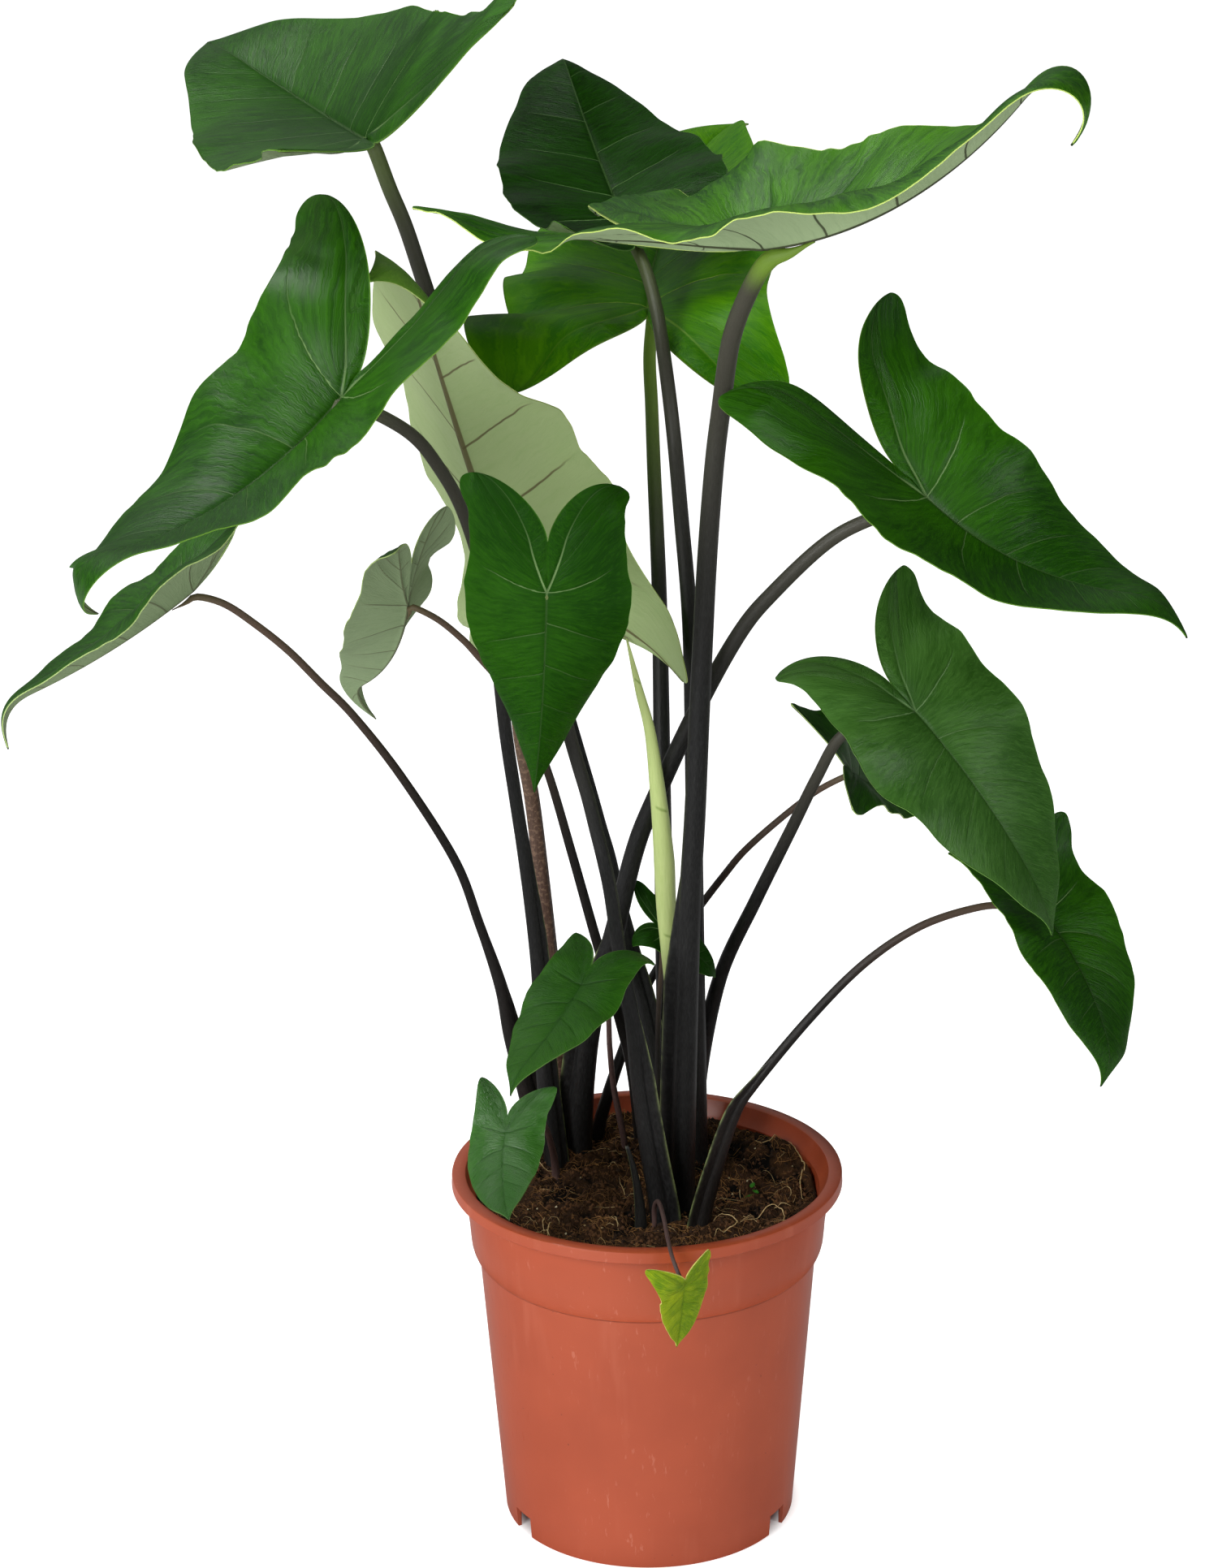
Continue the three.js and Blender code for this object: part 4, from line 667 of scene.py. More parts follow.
# %% Margins
# SHIFTS: for a leaf's left (1) or right (-1) half, places along the margin and the shift there in
# mm. SWELL and RIPPLE: how high the blade swells between veins and how far its margin ripples, in
# mm on a leaf as long as BIG_LEAF, where they aren't the usual ones.
DRAWN_OUT_TIP = ((0.84, 0), (0.94, 8), (1, 8))
SHIFTS = {
    ("left_front", -1): ((-1, 5), (-0.9, 5.4), (-0.8, 6), (-0.7, 5), (-0.6, 0.5), (-0.5, -5),
                         (-0.4, -8.5), (-0.3, -9.5), (-0.2, -8), (-0.1, -4), (0, 0)),
    ("top_left", -1): ((-0.8, 0), (-0.6, -4), (-0.4, -6), (-0.1, -5), (0.1, -3.4), (0.3, 0)),
    ("centre_front", 1): ((-1, 2), (-0.9, 2), (-0.7, 0)),
    ("centre_front", -1): ((-1, 5), (-0.9, 5), (-0.72, 0)),
    ("top_centre", 1): DRAWN_OUT_TIP, ("top_centre", -1): DRAWN_OUT_TIP,
}
SWELL = {"small_left": 2.0, "top_right": 2.4, "left_front": 1.8, "right_upper": 1.8}
RIPPLE = {"top_right": 2.0, "left_front": 1.6}
USUAL_SWELL, USUAL_RIPPLE = 1.3, 1.2


def margin_shift(name, sign, share):
    """How far the real margin lies outside the plain arrowhead's, in mm, read from the leaf's own
    row of SHIFTS, drawn smooth, and rounded off to 0 at both ends. share runs from -1 at the
    lobe's tip over 0 at the stalk to 1 at the blade's tip."""
    if (name, sign) not in SHIFTS:
        return 0 * share
    places, shifts = np.array(SHIFTS[name, sign], dtype=float).T
    near = share + np.linspace(-0.06, 0.06, 5)
    ends = np.sqrt(np.clip(1 - np.clip(np.abs(share), 0, 1) ** 40, 0, 1))
    return np.interp(near, places, shifts).mean(-1, keepdims=True) * ends


print("margins moved on:", *sorted({name for name, sign in SHIFTS}))


# %% Blade builder
def make_blade(name, leaf, material, seed):
    """The two halves as grids of (u, v), joined at the midrib, with an upper and a lower face. A
    leaf up to 90 mm long gets half as many rows and columns."""
    ahead, behind, across = (96, 44, 27) if leaf.length > 90 else (48, 22, 13)
    size = leaf.length / BIG_LEAF
    inside = np.linspace(0, 1, across // 3)
    outside = np.append(np.linspace(0, 1, across - across // 3)[1:] ** 1.2 * 0.985, 1.0)
    sheet = {label: [] for label in ("place", "normal", *MARKS, "edge")}
    index, total = {}, 0
    for sign, half in ((1, leaf.left), (-1, leaf.right)):
        k = np.linspace(0, 1, behind + 1)
        back = -half.lobe + (half.lobe - leaf.notch) * (1 - np.cos(np.pi / 2 * k))
        front = np.linspace(-leaf.notch, leaf.length, ahead + 1)[1:]
        u = np.concatenate([back, front])[:, None]
        inner, outer = inner_edge(leaf, half, u), outer_edge(leaf, half, u)
        rough = 0.03 if name == "top_centre" else 0.012
        ragged = value_noise(u, 0 * u + 9.0 * sign, 14 * size, seed) * rough
        outer = outer * (1 + ragged * smooth((leaf.length - u) / 20))
        outer = outer + margin_shift(name, sign, np.where(u < 0, u / half.lobe, u / leaf.length))
        seam = np.where(u < 0, lobe_rib(leaf, half, u), 0.3 * outer * smooth(4 * u / leaf.length))
        seam = np.maximum(seam, inner + 0.02 * (outer - inner))
        power = 1 + 0.5 * smooth(6 * u / leaf.length)
        v = np.hstack([inner + (seam - inner) * inside**power, seam + (outer - seam) * outside])
        u = u + 0 * v
        marks = blade_marks(leaf, half, sign, u, v)
        if name == "top_centre":
            u = u - 4 * smooth((u / leaf.length - 0.88) / 0.12) * np.exp(-((v / 3.5) ** 2))
        vein, _, _, reach, away = marks
        place = leaf_point(leaf, sign, u, v)
        step = 0.4
        inward = np.maximum(v - step, 0)
        du = leaf_point(leaf, sign, u + step, v) - leaf_point(leaf, sign, u - step, v)
        dv = leaf_point(leaf, sign, u, v + step) - leaf_point(leaf, sign, u, inward)
        normal = unit(np.cross(du, dv) * sign)
        fullness = np.sin(np.pi * np.abs(reach)) * (1 - 0.8 * away)
        swell = SWELL.get(name, USUAL_SWELL) * size * (1 - np.cos(FULL_TURN * vein)) / 2 * fullness
        ripple = value_noise(u, v * 0.3 + 40 * sign, 15 * size, seed + 1)
        ripple = ripple + 0.5 * value_noise(u, v * 0.3 + 90 * sign, 7 * size, seed + 2)
        ripple = ripple * np.clip(v / leaf.half_width, 0, 1) ** 3 * smooth((leaf.length - u) / 25)
        lift = swell + RIPPLE.get(name, USUAL_RIPPLE) * size * ripple
        place = place + lift[..., None] * normal
        grid = np.arange(u.size).reshape(u.shape) + total
        total += u.size
        grid[0, :] = grid[0, 0]
        if sign < 0:
            grid[behind:, 0] = index[1][behind:, 0]
            grid[-1, :] = index[1][-1, 0]
        else:
            grid[-1, :] = grid[-1, 0]
        index[sign] = grid
        edge = np.zeros_like(u)
        edge[:, -1] = 1
        edge[:behind, 0] = 1
        for label, values in zip(sheet, (place, normal, *marks, edge)):
            sheet[label].append(values.reshape(-1, 3) if values.ndim == 3 else values.ravel())
    sheet = {label: np.concatenate(values) for label, values in sheet.items()}

    faces = np.concatenate([grid_faces(index[1]), grid_faces(index[-1])[:, ::-1]])
    groove = np.exp(-((sheet["rib"] / 1.7) ** 2)) * (1 - 0.8 * sheet["away"])
    body = 0.42 * (1 - 0.3 * smooth((np.abs(sheet["reach"]) - 0.9) / 0.1))
    top = sheet["place"] + (body - 0.7 * size * groove)[:, None] * sheet["normal"]
    low = sheet["place"] - (body + 1.3 * size * groove)[:, None] * sheet["normal"]
    border = np.concatenate([
        np.stack([index[1][:-1, -1], index[1][1:, -1]], -1),
        np.stack([index[1][1:behind + 1, 0], index[1][:behind, 0]], -1),
        np.stack([index[-1][1:, -1], index[-1][:-1, -1]], -1),
        np.stack([index[-1][:behind, 0], index[-1][1:behind + 1, 0]], -1),
    ])
    a, b = border.T
    wall = [np.stack([b, a, a + total], -1), np.stack([b, a + total, b + total], -1)]
    faces = np.concatenate([faces, faces[:, ::-1] + total, *wall])
    marks = {label: np.tile(sheet[label], 2) for label in (*MARKS, "edge")}
    marks["under"] = np.repeat([0.0, 1.0], total)
    return add_piece(f"leaf_{name}", np.concatenate([top, low]), faces, material,
                     f"blade_{name}", marks)


LEAF_FINISH = {
    "top_back": BACKLIT_LEAF, "smallest": YELLOW_LEAF, "centre_front": FRONT_LEAF,
    "right_middle": SHEEN_GREY_LEAF, "small_centre": SMALL_LEAF, "small_left": SILVER_LEAF,
    "top_centre": SHADE_LEAF, "small_back": SHADE_LEAF, "centre_back": PALE_BACKED_LIT_LEAF,
    "far_left": GREY_LEAF, "left_inner": GREY_LEAF, "right_back": GREY_LEAF,
    "top_right": LIP_LEAF}
for number, (name, leaf) in enumerate(LEAVES.items()):
    report(make_blade(name, leaf, LEAF_FINISH.get(name, DARK_LEAF),
                      10 * number + 3))

# %% [markdown]
# ## Stalks
# A stalk of this plant is nearly black and satin, with fine lines along it. Its foot is a sheath
# whose thin edge is pale green, and its top turns green where it meets the blade. It could be a
# curve with a bevel, but then it would be round all over. Here a ring of points is carried along
# a smooth line, and the radius of each point depends on its height and its angle, so that the
# sheath's flap can stand out and the top can run on into the midrib. The points of a ring crowd
# together at the flap, where the shape is finest.

# %% Stalk table
# path: the way up from the soil, in mm. radii: at the foot, at 0.35 of the way and at the top.
# sheath: which side its flap is on, in degrees, how far up it reaches and how far out it stands,
# in mm. green: how far down from the blade the green runs, in mm, and how strong it is.
Stalk = namedtuple("Stalk", "path radii sheath green", defaults=(None, (0.0, 0.0)))
STALKS = {
    "top_left": Stalk([
        (16.8, 30, 177.8), (3.7, 43, 245.6), (-1.8, 47, 272.7), (-8.6, 52, 299.2),
        (-14.1, 57, 325.6), (-19.2, 62, 352), (-23.9, 66, 369.2), (-33.5, 74, 403.7),
        (-64.7, 94, 511.9), (-97.3, 99, 613.2), (-110.8, 99, 656.8), (-121, 100, 690.6),
        (-128.9, 100, 711.2)], (7, 4.5, 3.9), (350, 185, 3), (60, 0.35)),
    "top_right": Stalk([
        (18.7, -9, 177.5), (20, -10, 244.5), (22.2, -11, 319.2), (23.6, -12, 360.6),
        (26.2, -13, 405.9), (28.9, -15, 468.4), (32.3, -17, 538.1), (35.9, -21, 589.9),
        (39.1, -26, 620.3), (43.8, -42, 660.8), (51.9, -58, 688.4)],
        (7, 5.7, 4.4), (165, 212, 6), (26, 1.0)),
    "left_front": Stalk([
        (-50.2, 36, 186.5), (-55.1, 38, 244.6), (-57.2, 32, 303), (-63.2, 24, 366.4),
        (-67.6, 19, 404.7), (-71.9, 12, 443.1), (-78, 0, 512.8), (-88.8, -18, 565.2),
        (-101.4, -32, 596.3), (-116.5, -44, 618.1)], (6, 3.6, 3.2), (0, 220, 2), (40, 0.15)),
    "top_centre": Stalk([
        (28.5, 36, 180.7), (27.6, 39, 294.5), (26.4, 45, 431), (25, 48, 493), (21.1, 56, 543.8),
        (17.5, 58, 587), (13.7, 75, 619.7), (9.6, 102, 644.5), (3.3, 134, 662.6)],
        (5.4, 4.6, 3.2), None, (120, 0.3)),
    "centre_back": Stalk([
        (-41.1, 69, 182.2), (-46, 68, 221), (-50.8, 66, 287.5), (-55.8, 64, 347), (-60, 64, 388.9),
        (-65.3, 64, 423.5), (-69.3, 67, 470.3)], (5, 4.5, 3.6), None, (60, 0.3)),
    "centre_front": Stalk([
        (7.5, -24, 183.8), (1.7, -25, 220.8), (-3.2, -26, 256.4), (-6.8, -28, 292),
        (-10.4, -29, 315.4), (-14.1, -31, 337.6), (-18, -34, 369.4), (-21.3, -36, 388),
        (-25.3, -34, 405.1), (-29.3, -33, 422.4), (-34.1, -32, 439.7), (-38.6, -33, 457.6),
        (-45.1, -40, 490.2), (-48.9, -60, 521.9)], (7, 3.8, 3.1), (335, 140, 4), (30, 0.4)),
    "top_back": Stalk([
        (14.5, 50, 176.4), (12.3, 56, 240), (11.3, 62, 295), (10.6, 72, 376), (10.4, 90, 434.8),
        (10, 104, 485.5), (9.1, 116, 518.5), (7.9, 130, 551), (7, 144, 583.6), (6.2, 156, 607.7)],
        (6, 5, 3.2), None, (150, 0.9)),
    "right_upper": Stalk([
        (-37.8, 49, 189.2), (-35, 46, 230.3), (-29.2, 38, 271.9), (-16.9, 27, 320.9),
        (-5.3, 16, 373.3), (5.5, 11, 404.4), (28.5, 4, 457.9), (50.1, -2, 499.9), (67.3, -6, 522.5),
        (92.5, -12, 548.8), (113.5, -16, 562)], (8.6, 5.2, 3.2), (195, 158, 4.5), (30, 0.15)),
    "right_middle": Stalk([
        (26, 60, 188.4), (30.1, 56, 234.5), (41.4, 46, 291.6), (58.8, 20, 343.6), (77, 0, 391.8),
        (89.2, -14, 424.7), (100.5, -24, 449.5), (118.7, -29, 461.5)],
        (6, 3.8, 2.6), (200, 108, 3), (25, 0.2)),
    "right_low": Stalk([
        (28.6, -30, 181.1), (37.3, -32, 216.5), (46.6, -34, 245.8), (56.8, -35, 262.4),
        (85.1, -36, 299.3), (113.1, -36, 329.5), (141.1, -35, 349.1), (169.3, -33, 358.4),
        (187.1, -31, 358.7)], (5.4, 2.7, 1.7), (212, 124, 3.6), (20, 0.2)),
    "right_back": Stalk([
        (-27, 66, 187.3), (-20.9, 66, 211.8), (-13.1, 71, 233.9), (1.6, 75, 273.2),
        (23.1, 71, 310.4), (42.7, 60, 342.7), (57.5, 46, 366.3), (88, 42, 394.5)],
        (4.2, 2.3, 1.6), None, (20, 0.2)),
    "far_left": Stalk([
        (-58.4, 57, 189.8), (-64.6, 55, 219.5), (-72.9, 52, 254.7), (-78, 48, 285),
        (-88.9, 42, 324.3), (-100.8, 34, 363.6), (-127.4, 22, 415.2), (-151, 14, 451.7),
        (-167, 9, 471.3), (-182.4, 5, 489.8), (-198.3, 2, 504.9), (-213.9, 0, 516.9)],
        (7, 3.2, 2.2), (0, 115, 2.5), (20, 0.3)),
    "left_inner": Stalk([
        (-1.9, 62, 184.9), (-6.5, 60, 228.8), (-13.4, 58, 261.1), (-25.7, 52, 308.9),
        (-38.6, 44, 363.4), (-51.2, 36, 414.1), (-64.6, 30, 450.5), (-86.4, 24, 481.1),
        (-95, 22, 491.5), (-106.5, 21, 501.6)], (4.5, 2.8, 1.6), None, (20, 0.3)),
    "small_centre": Stalk([
        (-11.8, 50, 190.4), (-17.3, 38, 228.8), (-19.3, 5, 266.7), (-20.3, -30, 304.5),
        (-25.6, -50, 324)], (2, 1.6, 1.3)),
    "small_left": Stalk([
        (-49.6, 22, 189), (-52.6, 8, 213.7), (-57.4, -8, 232.7), (-63.8, -26, 244),
        (-70.4, -40, 244.7)], (2.6, 1.7, 1.3)),
    "smallest": Stalk([
        (3.4, -37, 181.4), (3.5, -40, 194.2), (5.5, -52, 202.6), (7.6, -78, 206.5),
        (9.4, -99, 204.4), (11.2, -113, 201.5), (13.5, -119, 196.6)], (1.5, 1.2, 1)),
    "small_back": Stalk([
        (6.4, 17, 185.8), (6.3, 18, 232.4), (7, 20, 278.9), (9, 22, 310.9)], (2, 1.6, 1.2)),
    "rolled_leaf": Stalk([
        (18.3, 13, 179.3), (17.6, 11, 235.4), (15.6, 7, 288.9), (13.1, 2.5, 323.2), (11, 1, 349.5),
        (9.9, 0, 378.1), (6.7, 0, 415.9), (3.1, -1, 446.5), (-2.2, -2, 469), (-8.3, -3, 496.9)],
        (3.6, 5.4, 0.6)),
    "pointed_sheath": Stalk([
        (-3.4, -29, 182.5), (-5, -30, 201), (-7.9, -31, 216.6), (-10.4, -32, 226)],
        (3.4, 2.6, 0.5), (180, 90, 0.8)),
}

# %% Curves and bars
BURIED = 20


def buried_path(stalk):
    """The places of a stalk's path, with its foot drawn on straight down into the soil."""
    points = [np.array(p, float) for p in stalk.path]
    return [points[0] - [0, 0, BURIED], *points]


def even_curve(points, spacing):
    """A Catmull-Rom curve through the points, sampled again at even steps of its length."""
    p = np.array(points, float)
    p = np.vstack([2 * p[0] - p[1], p, 2 * p[-1] - p[-2]])
    t = np.linspace(0, 1, 24, endpoint=False)[:, None]
    spans = [0.5 * (2 * b + (c - a) * t + (2 * a - 5 * b + 4 * c - d) * t**2
                    + (3 * b - a - 3 * c + d) * t**3)
             for a, b, c, d in zip(p[:-3], p[1:-2], p[2:-1], p[3:])]
    dense = np.vstack(spans + [p[-2:-1]])
    reached = np.append(0, np.cumsum(np.linalg.norm(np.diff(dense, axis=0), axis=1)))
    at = np.linspace(0, reached[-1], max(8, round(reached[-1] / spacing)) + 1)
    return np.stack([np.interp(at, reached, dense[:, i]) for i in range(3)], -1), at


def ring_axes(curve):
    """Two directions across the curve at each point, turned as little as possible along it."""
    tangent = unit(np.gradient(curve, axis=0))
    across, rows = np.array([1.0, 0, 0]), []
    for direction in tangent:
        across = unit(across - across @ direction * direction)
        rows.append(across)
    across = np.array(rows)
    return across, np.cross(tangent, across)


def round_angles(count):
    """count angles, evenly spread once round."""
    return np.linspace(0, FULL_TURN, count, endpoint=False)[None]


def closed_faces(index):
    """The faces of a closed grid that runs upwards, shut by one point below its first row and one
    above its last. Those two points are numbered after the grid's own."""
    low = np.stack([np.roll(index[0], -1), index[0], 0 * index[0] + index.size], -1)
    high = np.stack([index[-1], np.roll(index[-1], -1), 0 * index[-1] + index.size + 1], -1)
    return np.concatenate([grid_faces(index, True)[:, ::-1], low, high])


def tube(curve, radius, angle):
    """Points and faces of a bar: a ring of points at each place on the curve, radius(row, angle)
    out from it, and a point at both ends."""
    across, away = ring_axes(curve)
    ring = across[:, None] * np.cos(angle)[..., None] + away[:, None] * np.sin(angle)[..., None]
    points = (curve[:, None] + radius[..., None] * ring).reshape(-1, 3)
    faces = closed_faces(np.arange(radius.size).reshape(radius.shape))
    return np.vstack([points, curve[:1], curve[-1:]]), faces


def tube_marks(shape, **marks):
    """Each mark spread over a tube's grid, with a value for the point at either end added."""
    grids = {label: np.broadcast_to(values, shape) for label, values in marks.items()}
    return {label: np.append(grid.ravel(), [grid[0, 0], grid[-1, 0]])
            for label, grid in grids.items()}


# %% Stalk finishes
def stalk_finish(name, dark, light, green, wing, thin=None, bands=0.0):
    """Fine lines along the stalk, mixed between two tones. It turns to the tone called thin in its
    upper part, may have pale bands across, is green below the blade and pale on the sheath's
    edge."""
    f = Finish(name, Specular_IOR_Level=0.4)
    turn, height, upper = f.mark("turn"), f.mark("height"), f.mark("upper")
    lines = f.noise(f.join(turn * 34, height * 9), 1.0, 4, 0.6)
    streaks = f.noise(f.join(turn * 10, height * 3), 1.0, 3, 0.5)
    across = f.noise(f.join(turn * 5, height * 14), 1.0, 3, 0.6)
    speck = f.noise(f.place(), 300, 2)
    colour = f.mix(dark, light, f.ramp(lines, 0.35, 0.75) * 0.7 + f.ramp(streaks, 0.45, 0.8) * 0.3)
    if thin:
        colour = f.mix(colour, thin, f.ramp(upper, 0.5, 0.95) * (0.7 + lines * 0.5))
    colour = f.mix(colour, rgb(134, 106, 84), f.ramp(across, 0.5, 0.62) * bands)
    colour = f.mix(colour, green, f.mark("green") * (0.75 + lines * 0.5))
    patchy = f.ramp(f.noise(f.place(), 160, 3), 0.35, 0.6, 0.2, 1)
    colour = f.mix(colour, wing, f.mark("wing") * patchy)
    return f.done(colour, 0.34 + lines * 0.2, lines * 0.7 + speck * 0.2 + across * bands, 0.25)


EDGE = rgb(128, 140, 88)
BLACK_STALK = stalk_finish("black_stalk", rgb(15, 15, 15), rgb(40, 40, 40), rgb(104, 134, 40), EDGE,
                           rgb(66, 64, 54))
BROWN_STALK = stalk_finish("brown_topped_stalk", rgb(18, 16, 15), rgb(42, 38, 35),
                           rgb(112, 108, 66), EDGE, rgb(84, 66, 52))
BANDED_STALK = stalk_finish("banded_brown_stalk", rgb(70, 50, 40), rgb(104, 78, 64),
                            rgb(112, 104, 72), EDGE, rgb(96, 80, 58), 0.55)
MAUVE_STALK = stalk_finish("thin_mauve_stalk", rgb(74, 56, 54), rgb(112, 88, 82),
                           rgb(120, 112, 72), EDGE)
OLD_SHEATH = stalk_finish("dry_black_sheath", rgb(20, 20, 19), rgb(46, 46, 43), rgb(104, 134, 40),
                          EDGE)
print("stalk finishes:", BLACK_STALK.name, BROWN_STALK.name, BANDED_STALK.name, MAUVE_STALK.name)

# %% Stalk builder
TAIL = 6.5


def make_stalk(name, node, stalk, material):
    """The stalk's path, a buried foot below it, and a tail that runs along the midrib for TAIL of
    its top radii. The bar's radius is blended between the three radii, narrows along the tail, has
    fine ribs, and stands out at the sheath's flap with a groove on both sides of it."""
    points = buried_path(stalk)
    high = stalk.radii[2]
    leaf = LEAVES.get(name)
    tail = TAIL * high if leaf else 0
    if leaf:
        up = leaf_axes(leaf)[2]
        rib = lambda u: leaf_point(leaf, 1, np.array(float(u)), np.array(0.0))
        points += [rib(0) - up * (1.3 + 1.15 * high), rib(3.2 * high) - up * (1.3 + 0.6 * high),
                   rib(tail) - up * 1.2]
    curve, at = even_curve(points, 3.0)
    left_over = at[-1] - at[:, None]
    angle = round_angles(44 if stalk.radii[0] > 3 else 20)
    if stalk.sheath:
        angle = angle + math.radians(stalk.sheath[0])
        angle = angle - 0.75 * np.sin(angle - math.radians(stalk.sheath[0]))
    t = at[:, None] / at[-1]
    radius = np.interp(t, [0, 0.35, 1], stalk.radii) + 0 * angle
    if name == "far_left":
        radius = radius * (1 - 0.18 * smooth((t - 0.1) / 0.3))
    if leaf:
        radius = radius * (1 - 0.85 * smooth(1 - left_over / (7 * high)))
    radius = radius * (1 + 0.012 * np.sin(7 * angle + 3 * t) + 0.008 * np.sin(12 * angle - 5 * t))
    wing = 0 * radius
    if stalk.sheath:
        side, reach, flap = stalk.sheath
        turned = np.abs((angle - math.radians(side) + np.pi) % FULL_TURN - np.pi)
        facing = np.clip(np.cos(turned), 0, 1)
        strength = np.clip(3.5 * (1 - at[:, None] / reach), 0, 1)
        radius = radius + 1.1 * flap * facing**36 * strength
        radius = radius - 0.8 * strength * np.exp(-(((turned - 0.46) / 0.12) ** 2))
        wing = facing**500 * smooth(strength * 3)
    length, amount = stalk.green
    green = amount * smooth(1 - (left_over - tail) / max(length, 1))
    points, faces = tube(curve, radius, angle)
    marks = tube_marks(radius.shape, turn=np.abs((angle / np.pi) % 2 - 1), height=at[:, None] / 30,
                       green=green, wing=wing, upper=t)
    return add_piece(f"stem_{name}", points, faces, material, node, marks)


BROWN = {"right_low", "right_back", "far_left", "left_inner", "small_back"}
STALK_FINISH = {"centre_back": BANDED_STALK, "small_centre": MAUVE_STALK,
                "small_left": MAUVE_STALK, "smallest": MAUVE_STALK}
STALK_FINISH.update((name, BROWN_STALK) for name in BROWN)
for name in LEAVES:
    report(make_stalk(name, f"stalk_{name}", STALKS[name], STALK_FINISH.get(name, BLACK_STALK)))
report(make_stalk("old_sheath", "pointed_sheath", STALKS["pointed_sheath"], OLD_SHEATH))

# %% [markdown]
# ## Rolled young leaf
# The newest leaf is still a tight roll: a pale green spindle whose free edge shows as a line that
# winds slowly up it, with a few short creases across. The edge is made in the radius, which drops
# by a step once round, and the step turns with height. Painted shade darkens the creases and the
# low side of the step.

# %% Rolled leaf
def rolled_finish():
    """Pale green, with lines along it and short creases across; painted shade darkens the creases
    and the low side of the free edge's step.
    """
    f = Finish("rolled_leaf_green", Specular_IOR_Level=0.4)
    turn, height = f.mark("turn"), f.mark("height")
    lines = f.noise(f.join(turn * 16, height * 3), 1.0, 3, 0.6)
    crease = f.absolute(f.fraction(height * 0.42 + turn * 0.1) - 0.5)
    crease = f.ramp(crease, 0.0, 0.02, 1, 0) * f.ramp(f.absolute(turn - 0.6), 0.15, 0.3, 1, 0)
    colour = f.mix(rgb(168, 188, 108), rgb(196, 210, 140), lines)
    # Painted shade: the creases and the band just below the free edge's step are mixed towards a
    # darker green.
    colour = f.mix(colour, rgb(132, 156, 76), crease * 0.8 + f.mark("wing") * 0.45)
    return f.done(colour, 0.42 + lines * 0.1, lines * 0.5 - crease, 0.3)


ROLL_AT = (0, 0.3, 0.63, 0.75, 0.84, 0.91, 1)
ROLL_RADIUS = (3.6, 4.6, 5.5, 4.1, 2.9, 2.2, 0.5)
curve, at = even_curve(buried_path(STALKS["rolled_leaf"]), 2.5)
angle = round_angles(48)
t = at[:, None] / at[-1]
lap = (angle / FULL_TURN + 0.55 + 0.35 * t) % 1.0
radius = np.interp(t, ROLL_AT, ROLL_RADIUS) * (0.93 + 0.14 * lap)
points, faces = tube(curve, radius, angle)
marks = tube_marks(radius.shape, turn=np.abs(angle / np.pi - 1), height=at[:, None] / 30,
                   wing=smooth(1 - lap / 0.06))
report(add_piece("rolled_leaf_fine", points, faces, rolled_finish(), "rolled_leaf",
                 marks))

# %% [markdown]
# ## Pot
# An injection-moulded nursery pot is a thin wall with a stepped collar and a rolled lip. Its cross
# section is turned round the axis. The three cuts in the foot are made in the same grid: within a
# cut the lowest points of the wall are lifted, and the two columns of points at each side of a cut
# share one angle, so that the cut gets upright sides without any boolean.

# %% Pot finish
COLLAR_CORNER = 151.9


def pot_finish():
    """Orange-brown plastic, very slightly mottled, with faint upright flow lines, fine scuffs, a
    few dark specks, and a thin line of painted shade in the corner below the collar."""
    f = Finish("terracotta_plastic", Specular_IOR_Level=0.5, Coat_Weight=0.35, Coat_Roughness=0.22)
    cloud = f.noise(f.place(), 9, 4, 0.6)
    flow = f.noise(f.place((1, 1, 0.12)), 90, 3)
    speck = f.noise(f.place(), 260, 2)
    colour = f.mix(rgb(162, 68, 37), rgb(174, 75, 41), f.ramp(cloud, 0.3, 0.7))
    colour = f.mix(colour, rgb(192, 104, 76), f.ramp(flow, 0.55, 0.8) * 0.25)
    colour = f.mix(colour, rgb(96, 44, 30), f.ramp(speck, 0.76, 0.8) * 0.7)
    scuff = f.ramp(f.noise(f.place((1, 1, 0.25)), 420, 3, 0.6), 0.62, 0.72)
    colour = f.mix(colour, rgb(206, 128, 104), scuff * f.ramp(cloud, 0.45, 0.6) * 0.35)
    tall = f.node("ShaderNodeSeparateXYZ", {}, {0: f.place()}, "Z")
    # Painted shade: a thin darker line at the corner below the collar, where the ledge overhangs.
    line = f.ramp(f.absolute(tall - COLLAR_CORNER * MM), 0.0003, 0.0009, 1, 0)
    colour = f.mix(colour, rgb(96, 40, 26), line * 0.5)
    return f.done(colour, 0.36 + cloud * 0.14 + scuff * 0.1, flow * 0.3 + speck * 0.25, 0.12)


